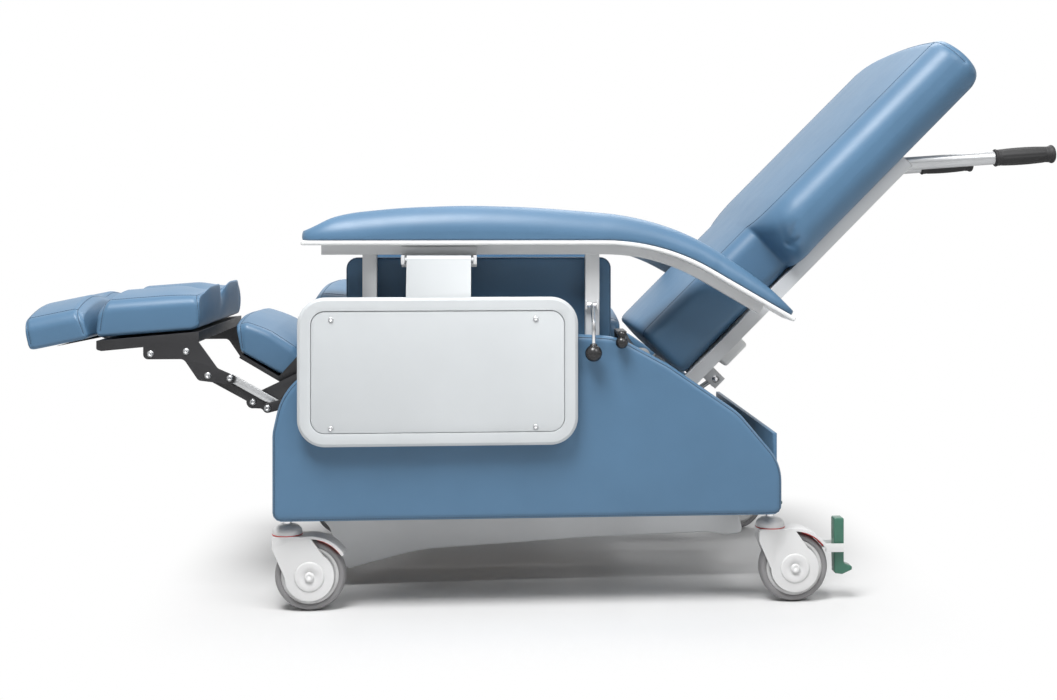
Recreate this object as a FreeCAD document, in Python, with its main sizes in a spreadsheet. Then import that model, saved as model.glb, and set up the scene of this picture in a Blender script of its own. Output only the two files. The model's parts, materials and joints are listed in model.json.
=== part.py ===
import FreeCAD
import Part
import math
import os
import re

# Clinical recliner, millimetres. +X points to the rear, +Y to the sitter's right, +Z up, floor at Z = 0.
# It is drawn as stored: back reclined, legrest out, arms up, side trays hanging.

DOC = FreeCAD.newDocument("clinical_recliner")
V = FreeCAD.Vector
NODES = []

# Driving dimensions: word, value in millimetres or degrees
DIMENSIONS = [
    ("caster_front_x", -470), ("caster_rear_x", 394), ("caster_y", 312), ("caster_trail", 41),
    ("wheel_radius", 62.5), ("wheel_width", 30), ("tread", 10), ("axle_radius", 5),
    ("fork_gap", 17.5), ("fork_sheet", 6), ("fork_disc", 43), ("dome_radius", 26), ("dome_low", 131),
    ("dome_high", 152), ("stem_radius", 7.5),
    ("frame_low", 168), ("frame_high", 208), ("beam_width", 44),
    ("skirt_inner", 145), ("skirt_sheet", 11), ("sill_inner", 284), ("sill_sheet", 12),
    ("panel_inner", 330), ("panel_sheet", 32), ("panel_front", -491), ("panel_rear", 407),
    ("panel_low", 163), ("panel_high", 487), ("panel_edge", 7),
    ("plate_inner", 204), ("plate_sheet", 6), ("link_sheet", 4), ("link_gap", 2), ("pin_radius", 5),
    ("seat_front", -428), ("seat_rear", 118), ("seat_half", 266), ("seat_slope", 5.3), ("seat_under", 462),
    ("deck_sheet", 12), ("deck_front", -395),
    ("back_pivot_x", 170), ("back_pivot_z", 430), ("back_angle", 45), ("back_half", 250), ("wing_half", 322),
    ("back_low", 26), ("wing_low", 318), ("back_high", 816), ("back_face", 34), ("back_rear", -76),
    ("tube", 25), ("rail_inner", 222), ("rail_face", -77), ("rail_end", 613), ("cover_sheet", 5),
    ("handle_radius", 12.5), ("grip_radius", 18), ("grip_start", 837), ("grip_end", 953.8),
    ("handle_z", 814.7), ("handle_foot_x", 658), ("handle_foot_z", 794),
    ("post", 25), ("post_y", 312.5), ("post_front", -325), ("post_rear", 70), ("post_low", 335),
    ("guide_wall", 3), ("guide_low", 215), ("guide_high", 400),
    ("arm_front", -443), ("arm_bend", 90), ("arm_bend_radius", 380), ("arm_bend_angle", 30),
    ("arm_rear", 432),
    ("arm_half", 50), ("arm_base", 653), ("trim", 8), ("rail_height", 17), ("rail_width", 36),
    ("arm_panel_inner", 271), ("arm_panel_sheet", 12), ("arm_panel_front", -370), ("arm_panel_rear", 107),
    ("tray_length", 485), ("tray_height", 258), ("tray_middle", -202), ("tray_low", 297),
    ("tray_inner", 370),
    ("tray_sheet", 18), ("tray_rim", 23), ("tray_corner", 48), ("hinge_y", 352), ("hinge_z", 619),
    ("hanger_length", 112), ("hinge_pin", 4),
    ("ball_radius", 15), ("ball_y", 382), ("ball_z", 456), ("latch_x", 68), ("latch_z", 538), ("rod", 3.2),
    ("lever_x", 118), ("lever_z", 376), ("knob_radius", 11),
    ("pad_half", 232), ("mid_half", 197), ("fold_knee", 73), ("fold_main", -42), ("fold_pad", 85),
    ("gas_foot_x", 120), ("gas_foot_z", 225), ("gas_radius", 11), ("gas_rod", 5),
]

SHEET = DOC.addObject("Spreadsheet::Sheet", "dims")
D = {}
for row, (word, value) in enumerate(DIMENSIONS, start=1):
    SHEET.set("A%d" % row, word)
    SHEET.set("B%d" % row, str(value))
    SHEET.setAlias("B%d" % row, word)
    D[word] = value
DOC.recompute()
WORD = re.compile(r"\b(%s)\b" % "|".join(D))


def bound(item, prop, value):
    """Set a property: a text is an expression over the sheet's words, a number stays a number."""
    if isinstance(value, str):
        item.setExpression(prop, WORD.sub(r"dims.\1", value))
    else:
        item.setExpression(prop, str(float(value)))


def place(item, x=0, y=0, z=0):
    """Bind an object's position."""
    for axis, value in zip("xyz", (x, y, z)):
        bound(item, "Placement.Base." + axis, value)


def box(name, x, y, z):
    """A block between pairs of bounds."""
    item = DOC.addObject("Part::Box", name)
    for prop, (low, high) in zip(("Length", "Width", "Height"), (x, y, z)):
        bound(item, prop, "(%s) - (%s)" % (high, low))
    place(item, x[0], y[0], z[0])
    return item


TURN = {
    "x": FreeCAD.Rotation(V(0, 1, 0), 90),
    "y": FreeCAD.Rotation(V(1, 0, 0), -90),
    "z": FreeCAD.Rotation(),
}


def rod(name, axis, start, radius, length):
    """A round bar from a start point along +x, +y or +z."""
    item = DOC.addObject("Part::Cylinder", name)
    item.Placement = FreeCAD.Placement(V(0, 0, 0), TURN[axis])
    bound(item, "Radius", radius)
    bound(item, "Height", length)
    place(item, *start)
    return item


def ball(name, centre, radius):
    """A round knob."""
    item = DOC.addObject("Part::Sphere", name)
    bound(item, "Radius", radius)
    place(item, *centre)
    return item


def fuse(name, items):
    """Pieces welded into one."""
    item = DOC.addObject("Part::MultiFuse", name)
    item.Shapes = items
    return item


def cut(name, base, tool):
    """One piece with another taken away."""
    item = DOC.addObject("Part::Cut", name)
    item.Base = base
    item.Tool = tool
    return item


def group(name, items):
    """Separate pieces of one kind, kept apart."""
    item = DOC.addObject("Part::Compound", name)
    item.Links = items
    return item


def feature(name, shape):
    """A shape that only Part's own functions make."""
    item = DOC.addObject("Part::Feature", name)
    item.Shape = shape
    return item


def node(label, item):
    """Name a finished sub-part."""
    item.Label = label
    NODES.append((label, item))
    return item


def rounded(points):
    """Closed outline through (x, z) or (x, z, radius) corners, as line and arc geometry."""
    corners = []
    count = len(points)
    for i, point in enumerate(points):
        here = V(point[0], point[1], 0)
        radius = point[2] if len(point) > 2 else 0
        before = V(points[i - 1][0], points[i - 1][1], 0) - here
        after = V(points[(i + 1) % count][0], points[(i + 1) % count][1], 0) - here
        if radius == 0:
            corners.append((here, None, here))
            continue
        half = before.getAngle(after) / 2
        reach = radius / math.tan(half)
        first = here + before.normalize() * reach
        last = here + after.normalize() * reach
        inward = (before + after).normalize()
        middle = here + inward * (radius / math.sin(half) - radius)
        corners.append((first, middle, last))
    edges = []
    for i, (first, middle, last) in enumerate(corners):
        if middle is not None:
            edges.append(Part.Arc(first, middle, last))
        following = corners[(i + 1) % count][0]
        if (following - last).Length > 1e-6:
            edges.append(Part.LineSegment(last, following))
    return edges


def ring(x, z, radius):
    """A round hole's outline."""
    return [Part.Circle(V(x, z, 0), V(0, 0, 1), radius)]


def prism(name, loops, y_high, thickness, edge=0, dressing="Chamfer"):
    """A plate cut to a side outline: a sketch on the side plane, padded towards -Y from y_high."""
    body = DOC.addObject("PartDesign::Body", name)
    sketch = body.newObject("Sketcher::SketchObject", name + "_outline")
    plane = [f for f in body.Origin.OriginFeatures if f.Role == "XZ_Plane"][0]
    sketch.AttachmentSupport = [(plane, "")]
    sketch.MapMode = "FlatFace"
    for loop in loops:
        sketch.addGeometry(loop, False)
    pad = body.newObject("PartDesign::Pad", name + "_pad")
    pad.Profile = sketch
    bound(pad, "Length", thickness)
    sketch.Visibility = False
    DOC.recompute()
    if edge:
        faces = [i for i, f in enumerate(pad.Shape.Faces, 1) if abs(f.normalAt(0, 0).y) > 0.99]
        soft = body.newObject("PartDesign::" + dressing, name + "_edge")
        soft.Base = (pad, ["Face%d" % i for i in faces])
        bound(soft, "Radius" if dressing == "Fillet" else "Size", edge)
        body.Tip = soft
    bound(body, "Placement.Base.y", y_high)
    return body


def outward(side, inner, thickness):
    """Upper Y bound of a layer that starts at a distance from the middle plane, on one side."""
    return "-(%s)" % inner if side < 0 else "(%s) + (%s)" % (inner, thickness)


def bar(name, first, last, width, y_high, thickness, hole):
    """A flat link with round ends and a hole at each end."""
    run = V(last[0] - first[0], last[1] - first[1], 0).normalize()
    across = V(-run.y, run.x, 0) * (width / 2)
    a, b = V(first[0], first[1], 0), V(last[0], last[1], 0)
    reach = run * (width / 2)
    outline = [
        Part.LineSegment(a - across, b - across), Part.Arc(b - across, b + reach, b + across),
        Part.LineSegment(b + across, a + across), Part.Arc(a + across, a - reach, a - across),
    ]
    return prism(name, [outline, ring(*first, hole), ring(*last, hole)], y_high, thickness)


def section(foot, up, half, height, crown, draw):
    """One cushion station: flat below, drawn-in sides and a crowned top, across the Y axis."""
    foot = V(foot[0], 0, foot[1])
    rise = V(up[0], 0, up[1])
    side = V(0, 1, 0)
    low_a, low_b = foot - side * half, foot + side * half
    top_a, top_b = low_a + rise * height, low_b + rise * height
    edges = [
        Part.LineSegment(low_a, low_b).toShape(),
        Part.Arc(low_b, foot + side * (half - draw) + rise * (height / 2), top_b).toShape(),
        Part.Arc(top_b, foot + rise * (height + crown), top_a).toShape(),
        Part.Arc(top_a, foot - side * (half - draw) + rise * (height / 2), low_a).toShape(),
    ]
    return Part.Wire(edges)


def spaced(stations, step=42):
    """The same stations with even ones put between those that stand far apart."""
    filled = [stations[0]]
    for first, last in zip(stations, stations[1:]):
        reach = math.dist(first[0], last[0])
        count = max(1, round(reach / step))
        for k in range(1, count + 1):
            part = k / count
            foot = tuple(p + (q - p) * part for p, q in zip(first[0], last[0]))
            up = tuple(p + (q - p) * part for p, q in zip(first[1], last[1]))
            filled.append((foot, up) + tuple(p + (q - p) * part for p, q in zip(first[2:], last[2:])))
    return filled


def cushion(stations):
    """A stuffed pad lofted through its stations."""
    return Part.makeLoft([section(*s) for s in spaced(stations)], True, False)


SIDES = (("left", -1), ("right", 1))

# Casters: stems fixed in the frame, forks that swivel, wheels that roll, pedals at the rear
stems = []
for end in ("front", "rear"):
    stem_x = "caster_%s_x" % end
    for hand, side in SIDES:
        name = "%s_%s" % (end, hand)
        y = "caster_y * %d" % side
        axle_x = "%s + caster_trail" % stem_x
        stems.append(rod(name + "_stem", "z", (stem_x, y, "dome_low - 2"), "stem_radius",
                         "frame_high - dome_low"))
        x0 = D["caster_%s_x" % end]
        xw = x0 + D["caster_trail"]
        r = D["wheel_radius"]
        cheek = [(x0 - 24, 133), (x0 + 40, 133), (xw + 38, r + 16), (xw - 34, r - 22), (x0 - 24, 112, 8)]
        cheeks = []
        for k, face in enumerate(("%s - fork_gap" % y, "%s + fork_gap + fork_sheet" % y)):
            cheeks.append(prism("%s_cheek%d" % (name, k), [rounded(cheek)], face, "fork_sheet"))
            cheeks.append(rod("%s_disc%d" % (name, k), "y", (axle_x, face + " - fork_sheet", "wheel_radius"),
                              "fork_disc", "fork_sheet"))
        crown = box(name + "_crown", (stem_x + " - 24", stem_x + " + 40"),
                    (y + " - fork_gap - fork_sheet", y + " + fork_gap + fork_sheet"), ("127", "133"))
        dome = rod(name + "_dome", "z", (stem_x, y, 130), "dome_radius", "dome_high - 130")
        inner, outer = r + 3.5, r + 8.5
        arc_points = [(inner, 32), (inner, 66), (inner, 100), (outer, 100), (outer, 66), (outer, 32)]
        at = []
        for reach, angle in arc_points:
            turn = math.radians(angle)
            at.append(V(xw + reach * math.cos(turn), r + reach * math.sin(turn), 0))
        hood_arc = [Part.Arc(at[0], at[1], at[2]), Part.LineSegment(at[2], at[3]),
                    Part.Arc(at[3], at[4], at[5]), Part.LineSegment(at[5], at[0])]
        hood = prism(name + "_hood", [hood_arc], "%s + fork_gap + fork_sheet" % y,
                     "2 * fork_gap + 2 * fork_sheet")
        axle = rod(name + "_axle", "y", (axle_x, y + " - fork_gap - fork_sheet - 4", "wheel_radius"),
                   "axle_radius", "2 * fork_gap + 2 * fork_sheet + 8")
        body = fuse(name + "_fork_weld", cheeks + [crown, dome, hood, axle])
        bore = rod(name + "_bore", "z", (stem_x, y, "120"), "stem_radius + 0.1", 60)
        fork = cut(name + "_fork", body, bore)
        if end == "rear":
            lugs = [box("%s_lug%d" % (name, k), (xw + 57, xw + 90), (y + low, y + high), (r + 28, r + 42))
                    for k, (low, high) in enumerate(((" - 23.5", " - 16"), (" + 16", " + 23.5")))]
            pin = rod(name + "_pedal_pin", "y", (xw + 83, y + " - 23.5", r + 35), 3, 47)
            fork = fuse(name + "_fork_lugs", [fork, pin] + lugs)
        node(name + "_fork", fork)
        near_face, near_clear = y + " - wheel_width / 2", y + " - wheel_width / 2 - 1"
        core = rod(name + "_core", "y", (axle_x, near_face, "wheel_radius"), "wheel_radius - tread",
                   "wheel_width")
        hub = rod(name + "_hub", "y", (axle_x, near_clear, "wheel_radius"), "axle_radius + 0.06",
                  "wheel_width + 2")
        tyre = rod(name + "_tyre_block", "y", (axle_x, near_face, "wheel_radius"), "wheel_radius",
                   "wheel_width")
        seat = rod(name + "_tyre_seat", "y", (axle_x, near_clear, "wheel_radius"),
                   "wheel_radius - tread", "wheel_width + 2")
        node(name + "_wheel", group(name + "_wheel_set", [cut(name + "_rim", core, hub),
                                                          cut(name + "_tyre", tyre, seat)]))
        if end == "rear":
            px, pz = xw + 83, r + 35
            plate = [(px - 8, pz - 48, 3), (px + 6, pz - 50, 3), (px + 24, pz - 42, 3),
                     (px + 24, pz - 36, 3), (px + 9, pz - 30, 5), (px + 9, pz + 52, 3),
                     (px - 9, pz + 52, 3), (px - 9, pz - 10, 8)]
            node(hand + "_brake_pedal", prism(hand + "_pedal", [rounded(plate), ring(px, pz, 3.06)],
                                              y + " + 12.5", 25, 1.5))
node("caster_stems", group("caster_stem_set", stems))

# Base frame: cross beams, arched skirts, side sills with uprights, a middle beam with the gas spring's ears
frame = []
for end in ("front", "rear"):
    x = "caster_%s_x" % end
    shift = 0 if end == "front" else -14
    middle = "%s + %d" % (x, shift)
    frame.append(box(end + "_beam", (middle + " - beam_width / 2", middle + " + beam_width / 2"),
                     ("-caster_y", "caster_y"), ("frame_low", "frame_high")))
    for hand, side in SIDES:
        frame.append(rod("%s_%s_socket" % (end, hand), "z", (x, "caster_y * %d" % side, "frame_low"),
                         "stem_radius + 6.5", "frame_high - frame_low"))
skirt = [(-449, 208), (359, 208), (359, 150, 14), (372, 90, 10), (345, 86, 14), (300, 92, 60), (86, 86, 400),
         (-239, 68, 300), (-330, 46, 80), (-376, 34, 10), (-392, 44, 12), (-412, 112, 40), (-449, 150, 20)]
for hand, side in SIDES:
    frame.append(prism(hand + "_skirt", [rounded(skirt)], outward(side, "skirt_inner", "skirt_sheet"),
                       "skirt_sheet", 2))
    high = outward(side, "sill_inner", "sill_sheet")
    low = high + " - sill_sheet"
    frame.append(box(hand + "_sill", (-449, 359), (low, high), ("frame_high - 30", "frame_high")))
    for end in ("front", "rear"):
        frame.append(box("%s_%s_upright" % (hand, end), ("post_%s - 22" % end, "post_%s + 22" % end),
                         (low, high), ("frame_high - 30", "guide_high - 10")))
frame.append(box("middle_beam", ("gas_foot_x - 20", "gas_foot_x + 20"),
                 ("-sill_inner - 1", "sill_inner + 1"), ("frame_low", "frame_low + 28")))
gx, gz = D["gas_foot_x"], D["gas_foot_z"]
ear = [(gx - 16, gz - 39), (gx + 16, gz - 39), (gx + 12, gz + 12, 11), (gx - 12, gz + 12, 11)]
for hand, side in SIDES:
    frame.append(prism(hand + "_gas_ear", [rounded(ear)], outward(side, 14, 6), 6))
frame.append(rod("gas_foot_pin", "y", ("gas_foot_x", -20, "gas_foot_z"), 5, 40))
welded = fuse("frame_weld", frame)
holes = []
for end in ("front", "rear"):
    for hand, side in SIDES:
        holes.append(rod("%s_%s_socket_bore" % (end, hand), "z",
                         ("caster_%s_x" % end, "caster_y * %d" % side, "frame_low - 1"),
                         "stem_radius + 0.05", "frame_high - frame_low + 2"))
node("base_frame", cut("base_frame_cut", welded, fuse("socket_bores", holes)))

# Arm guides: square sleeves on the uprights that the arm posts slide in
guides = []
for hand, side in SIDES:
    for end in ("front", "rear"):
        wall, slack = "post / 2 + guide_wall + 0.3", "post / 2 + 0.3"
        x, y = "post_" + end, "post_y * %d" % side
        outer = box("%s_%s_sleeve" % (hand, end), ("%s - (%s)" % (x, wall), "%s + %s" % (x, wall)),
                    ("%s - (%s)" % (y, wall), "%s + %s" % (y, wall)), ("guide_low", "guide_high"))
        inner = box("%s_%s_way" % (hand, end), ("%s - (%s)" % (x, slack), "%s + %s" % (x, slack)),
                    ("%s - (%s)" % (y, slack), "%s + %s" % (y, slack)), ("guide_low - 1", "guide_high + 1"))
        guides.append(cut("%s_%s_guide" % (hand, end), outer, inner))
node("arm_guides", group("arm_guide_set", guides))

# Side panels: padded boards that close the base
front, rear, low, high = D["panel_front"], D["panel_rear"], D["panel_low"], D["panel_high"]
side_outline = [(front, low, 6), (rear, low, 6), (rear, 255, 90), (330, 346, 120), (205, 432, 90),
                (112, high - 4, 120), (40, high, 200), (-368, high, 70), (-476, 385, 110),
                (front, 318, 60)]
for hand, side in SIDES:
    padded = prism(hand + "_panel", [rounded(side_outline)], outward(side, "panel_inner", "panel_sheet"),
                   "panel_sheet", "panel_edge", "Fillet")
    node(hand + "_side_panel", padded)
node("rear_panel", box("rear_board", (396, 404), ("-panel_inner + 5", "panel_inner - 5"),
                       ("frame_high + 4", 305)))

# Mechanism plates: carry the legrest pivots and the back's hinge
knee_pivot = (-451, 398)
knee = (-544, 357)
pad_pivot = (-623, 407)
tail = (-516, 347)
pad_guide = (-583, 402)
knee_guide = (-500.3, 354.1)
tail_pivot = (-414, 373)
flip_pivot = (-448, 440)
hinge = (D["back_pivot_x"], D["back_pivot_z"])
plate_outline = [(-466, 208), (-440, 208), (-396, 322, 60), (110, 322, 60), (338, 208), (366, 208),
                 (187, 436, 20), (184, 450, 14), (156, 450, 14), (130, 396, 10), (-390, 444, 10),
                 (-428, 455, 8), (-466, 455, 14)]
pin = D["pin_radius"]
for hand, side in SIDES:
    rings = [ring(*p, pin + 0.06) for p in (knee_pivot, tail_pivot, flip_pivot)] + [ring(*hinge, 8.06)]
    rings.append(ring(D["lever_x"], D["lever_z"], 6.06))
    node(hand + "_mechanism_plate", prism(hand + "_plate", [rounded(plate_outline)] + rings,
                                          outward(side, "plate_inner", "plate_sheet"), "plate_sheet"))

# Seat: a sloping board and its cushion
slope = math.radians(D["seat_slope"])
fall = (math.cos(slope), -math.sin(slope))
rise = (math.sin(slope), math.cos(slope))


def on_seat(run, lift):
    """Side-view point at a run along the seat from its front edge and a lift off its underside."""
    x = D["seat_front"] + run * fall[0] + lift * rise[0]
    z = D["seat_under"] + run * fall[1] + lift * rise[1]
    return (x, z)


deck_sheet = D["deck_sheet"]
run_front, run_rear = D["deck_front"] - D["seat_front"], D["seat_rear"] - D["seat_front"] - 12
deck = [on_seat(run_front, -1.5), on_seat(run_rear, -1.5), on_seat(run_rear, -deck_sheet),
        on_seat(run_front, -deck_sheet)]
node("seat_deck", prism("deck", [rounded(deck)], "seat_half - 6", "2 * seat_half - 12"))
seat_run = D["seat_rear"] - D["seat_front"]
seat_stations = [(0, 8, 78, 8), (14, 2, 96, 12), (70, 0, 98, 14), (280, 0, 94, 15),
                 (seat_run - 70, 0, 92, 12), (seat_run - 14, 2, 84, 10), (seat_run, 10, 66, 8)]
seat = [(on_seat(run, lift), rise, D["seat_half"] - (4 if lift > 5 else 0), height, crown, 3)
        for run, lift, height, crown in seat_stations]
node("seat_cushion", feature("seat_stuffing", cushion(seat)))

# Legrest: knee links, main links, upper and lower links, and the board with two pads
sheet_step = D["link_sheet"] + D["link_gap"]
layer = ["plate_inner + plate_sheet + 2 + %d" % (sheet_step * k) for k in range(4)]


def pins(name, point, side, first, last, radius=pin):
    """A pivot pin across the layers from first to last, on one side."""
    start = "(%s) * %d" % (first if side > 0 else last, side)
    return rod(name, "y", (point[0], start, point[1]), radius, "(%s) - (%s)" % (last, first))


knee_links, main_links, upper_links, lower_links, board_parts = [], [], [], [], []
for hand, side in SIDES:
    ends = ["%s + link_sheet" % word for word in layer]
    knee_plate = [(knee_pivot[0] + 12, knee_pivot[1] + 4, 9), (knee_pivot[0] - 6, knee_pivot[1] + 14, 9),
                  (knee[0] - 12, knee[1] + 8, 9), (knee[0] - 8, knee[1] - 12, 9),
                  (knee_guide[0] + 4, knee_guide[1] - 12, 9), (knee_guide[0] + 14, knee_guide[1] + 4, 12)]
    tops = [outward(side, word, "link_sheet") for word in layer]
    plate = prism(hand + "_knee_plate", [rounded(knee_plate)], tops[0], "link_sheet")
    knee_links.append(fuse(hand + "_knee_link", [
        plate, pins(hand + "_knee_pin", knee_pivot, side, "plate_inner", ends[0]),
        pins(hand + "_main_pin", knee, side, layer[0], ends[1]),
        pins(hand + "_upper_pin", knee_guide, side, layer[0], ends[2], 4)]))
    main_plate = bar(hand + "_main_bar", tail, pad_pivot, 18, tops[1], "link_sheet", pin + 0.06)
    eye = rod(hand + "_main_eye", "y", (knee[0], tops[1] + " - link_sheet", knee[1]), 12, "link_sheet")
    eye_hole = pins(hand + "_main_hole", knee, side, "plate_inner", "plate_inner + 40", pin + 0.06)
    tail_pin = pins(hand + "_tail_pin", tail, side, layer[1], ends[1] + " + 1.5", 7)
    main_links.append(fuse(hand + "_main_link", [
        cut(hand + "_main_drilled", fuse(hand + "_main_blank", [main_plate, eye]), eye_hole), tail_pin]))
    upper = bar(hand + "_upper_bar", knee_guide, pad_guide, 14, tops[2], "link_sheet", 4.06)
    upper_links.append(upper)
    lower = bar(hand + "_lower_bar", tail_pivot, tail, 18, tops[3], "link_sheet", 4.06)
    lower_links.append(fuse(hand + "_lower_link", [
        lower, pins(hand + "_lower_pin", tail_pivot, side, "plate_inner", ends[3]),
        pins(hand + "_lower_cap", tail, side, layer[2], ends[3] + " + 2.5", 6)]))
    bracket = [(-738, 437, 9), (-666, 437, 12), (-640, 398, 10), (-580, 390, 6), (-571, 404, 6),
               (-606, 420, 10), (-644, 474, 4), (-738, 466, 4)]
    board_parts.append(prism(hand + "_bracket", [rounded(bracket)], tops[3], "link_sheet"))
    board_parts.append(pins(hand + "_pad_pin", pad_pivot, side, layer[1], ends[3]))
    board_parts.append(pins(hand + "_guide_pin", pad_guide, side, layer[3] + " - 1.5",
                            ends[3] + " + 2.5", 6))
board = [(-639, 486.5), (-639, 468), (-812, 452.5, 5), (-821, 455, 4), (-821, 471)]
board_parts.append(prism("legrest_board", [rounded(board)], "pad_half + 2", "2 * pad_half + 4"))
tongue = [(-818, 456), (-818, 466), (-845, 469.5), (-928, 451.5), (-928, 445.5), (-845, 462)]
board_parts.append(prism("foot_tongue", [rounded(tongue)], 100, 200))
node("knee_links", group("knee_link_pair", knee_links))
node("main_links", group("main_link_pair", main_links))
node("upper_links", group("upper_link_pair", upper_links))
node("lower_links", group("lower_link_pair", lower_links))
node("legrest_frame", fuse("legrest_weld", board_parts))


def pad_between(first, last, height, crown, half, ends=10):
    """A boxed pad standing on the line from one side-view point to another."""
    run = V(last[0] - first[0], last[1] - first[1], 0)
    length = run.Length
    run.normalize()
    up = (-run.y, run.x) if run.x > 0 else (run.y, -run.x)
    spots = [(0, 0.80, 0.6), (ends, 0.96, 0.9), (length * 0.3, 1, 1), (length * 0.7, 1, 1),
             (length - ends, 0.96, 0.9), (length, 0.80, 0.6)]
    made = []
    for along, tall, swell in spots:
        lift = (1 - tall) * height / 2
        foot = (first[0] + run.x * along + up[0] * lift, first[1] + run.y * along + up[1] * lift)
        made.append((foot, up, half - (1 - tall) * 25, height * tall, crown * swell, 3))
    return cushion(made)


node("calf_pad", feature("calf_stuffing", pad_between((-826, 475.5), (-637, 489.5), 62, 12, D["pad_half"])))
node("foot_pad", feature("foot_stuffing", pad_between((-944, 452.5), (-834, 475), 53, 10, D["pad_half"])))
slant = (0.515, 0.857)
mid_stations = [((-571, 444.5), (-0.20, 0.98), D["mid_half"] - 7, 42, 7, 3),
                ((-563, 440), (0.02, 0.9998), D["mid_half"] - 1, 50, 11, 3),
                ((-538, 426), (0.40, 0.9165), D["mid_half"], 50, 12, 3),
                ((-502, 405.5), slant, D["mid_half"], 47, 12, 3),
                ((-483, 394.5), slant, D["mid_half"] - 1, 42, 10, 3),
                ((-477, 391.5), slant, D["mid_half"] - 7, 34, 7, 3)]
node("mid_pad", feature("mid_stuffing", cushion(mid_stations)))
mid_board = [(-570, 441.5), (-482, 388.5), (-486, 382), (-574, 435)]
flip_parts = [prism("mid_board", [rounded(mid_board)], "mid_half - 4", "2 * mid_half - 8")]
for hand, side in SIDES:
    ear = [(-503, 398), (-485, 384, 4), (-438, 434, 8), (-440, 449, 8), (-456, 450, 8)]
    flip_parts.append(prism(hand + "_flip_ear", [rounded(ear)], outward(side, "plate_inner - 6", 4), 4))
    tab = (-199, -190) if side < 0 else (190, 199)
    flip_parts.append(box(hand + "_flip_tab", (-500, -488), tab, (384, 393)))
    flip_parts.append(pins(hand + "_flip_pin", flip_pivot, side, "plate_inner - 6",
                           "plate_inner + plate_sheet"))
node("mid_pad_frame", fuse("mid_pad_weld", flip_parts))

# Backrest, drawn upright along local X and turned to its reclined angle about the hinge
LEAN = FreeCAD.Placement(V(D["back_pivot_x"], 0, D["back_pivot_z"]),
                         FreeCAD.Rotation(V(0, 1, 0), -D["back_angle"]))


def lean(item):
    """Turn a piece drawn in the back's own frame into place."""
    item.Placement = LEAN.multiply(item.Placement)
    for axis, word in (("x", "back_pivot_x"), ("z", "back_pivot_z")):
        bound(item, "Placement.Base." + axis, word)
    return item


def back_point(along, off):
    """World side-view point of a point in the back's own frame."""
    where = LEAN.multVec(V(along, 0, off))
    return (where.x, where.z)


up_back = (0, 1)
low_face, rear_face = D["back_face"], D["back_rear"]
thick = low_face - rear_face
low_stations = [((D["back_low"], rear_face + 16), up_back, 240, thick - 36, 6, 3),
                ((D["back_low"] + 14, rear_face + 6), up_back, 249, thick - 12, 14, 3),
                ((D["back_low"] + 120, rear_face + 4), up_back, 250, thick - 4, 18, 3),
                ((D["wing_low"] + 60, rear_face + 2), up_back, 250, thick - 2, 18, 3),
                ((D["wing_low"] + 110, rear_face + 4), up_back, 244, thick - 8, 16, 3)]
wing_stations = [((D["wing_low"], rear_face + 10), up_back, 312, thick - 28, 10, 3),
                 ((D["wing_low"] + 14, rear_face + 1), up_back, 321, thick - 6, 16, 3),
                 ((D["wing_low"] + 120, rear_face), up_back, 322, thick, 20, 3),
                 ((D["back_high"] - 170, rear_face), up_back, 322, thick, 20, 3),
                 ((D["back_high"] - 46, rear_face + 3), up_back, 321, thick - 4, 18, 3),
                 ((D["back_high"] - 14, rear_face + 12), up_back, 316, thick - 18, 14, 3),
                 ((D["back_high"], rear_face + 28), up_back, 302, thick - 48, 8, 3)]
stuffing = cushion(low_stations).fuse(cushion(wing_stations)).removeSplitter()
node("back_cushion", lean(feature("back_stuffing", stuffing)))

cover_top = "back_rear - 0.5"
cover = box("back_cover", ("back_low + 16", "back_high - 40"), ("-rail_inner + 0.5", "rail_inner - 0.5"),
            ("%s - cover_sheet" % cover_top, cover_top))
node("back_panel", lean(group("back_cover_set", [cover])))

rails = []
for hand, side in SIDES:
    high_y = outward(side, "rail_inner", "tube")
    low_y = high_y + " - tube"
    rails.append(box(hand + "_rail", (-30, "rail_end"), (low_y, high_y), ("rail_face - tube", "rail_face")))
    ear_low, ear_high = ("-rail_inner", "-rail_inner + 8") if side < 0 else ("rail_inner - 8", "rail_inner")
    rails.append(box(hand + "_hinge_ear", (-30, 14), (ear_low, ear_high), ("rail_face - tube", 0)))
    rails.append(rod(hand + "_hinge_eye", "y", (0, ear_low, 0), 14, 8))
    pin_start = "-rail_inner" if side < 0 else "plate_inner - 2"
    rails.append(rod(hand + "_hinge_pin", "y", (0, pin_start, 0), 8, "rail_inner - plate_inner + 2"))
    lug_y = (-20, -14) if side < 0 else (14, 20)
    rails.append(box(hand + "_gas_lug", (64, 92), lug_y, (-176, "rail_face - tube + 2")))
for k, along in enumerate((64, 122, 318, 566)):
    rails.append(box("cross_tube%d" % k, (along, along + 25), ("-rail_inner", "rail_inner"),
                     ("rail_face - tube", "rail_face - cover_sheet - 0.2")))
back_weld = fuse("back_weld", rails)
gas_eye = rod("gas_lug_hole", "y", (78, -30, -163), 7.4, 60)
node("back_frame", lean(cut("back_frame_cut", back_weld, gas_eye)))
housing = box("housing_block", (104, 164), (-150, -60), (-137, -102.5))
node("release_housing", lean(group("housing", [housing])))

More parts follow.
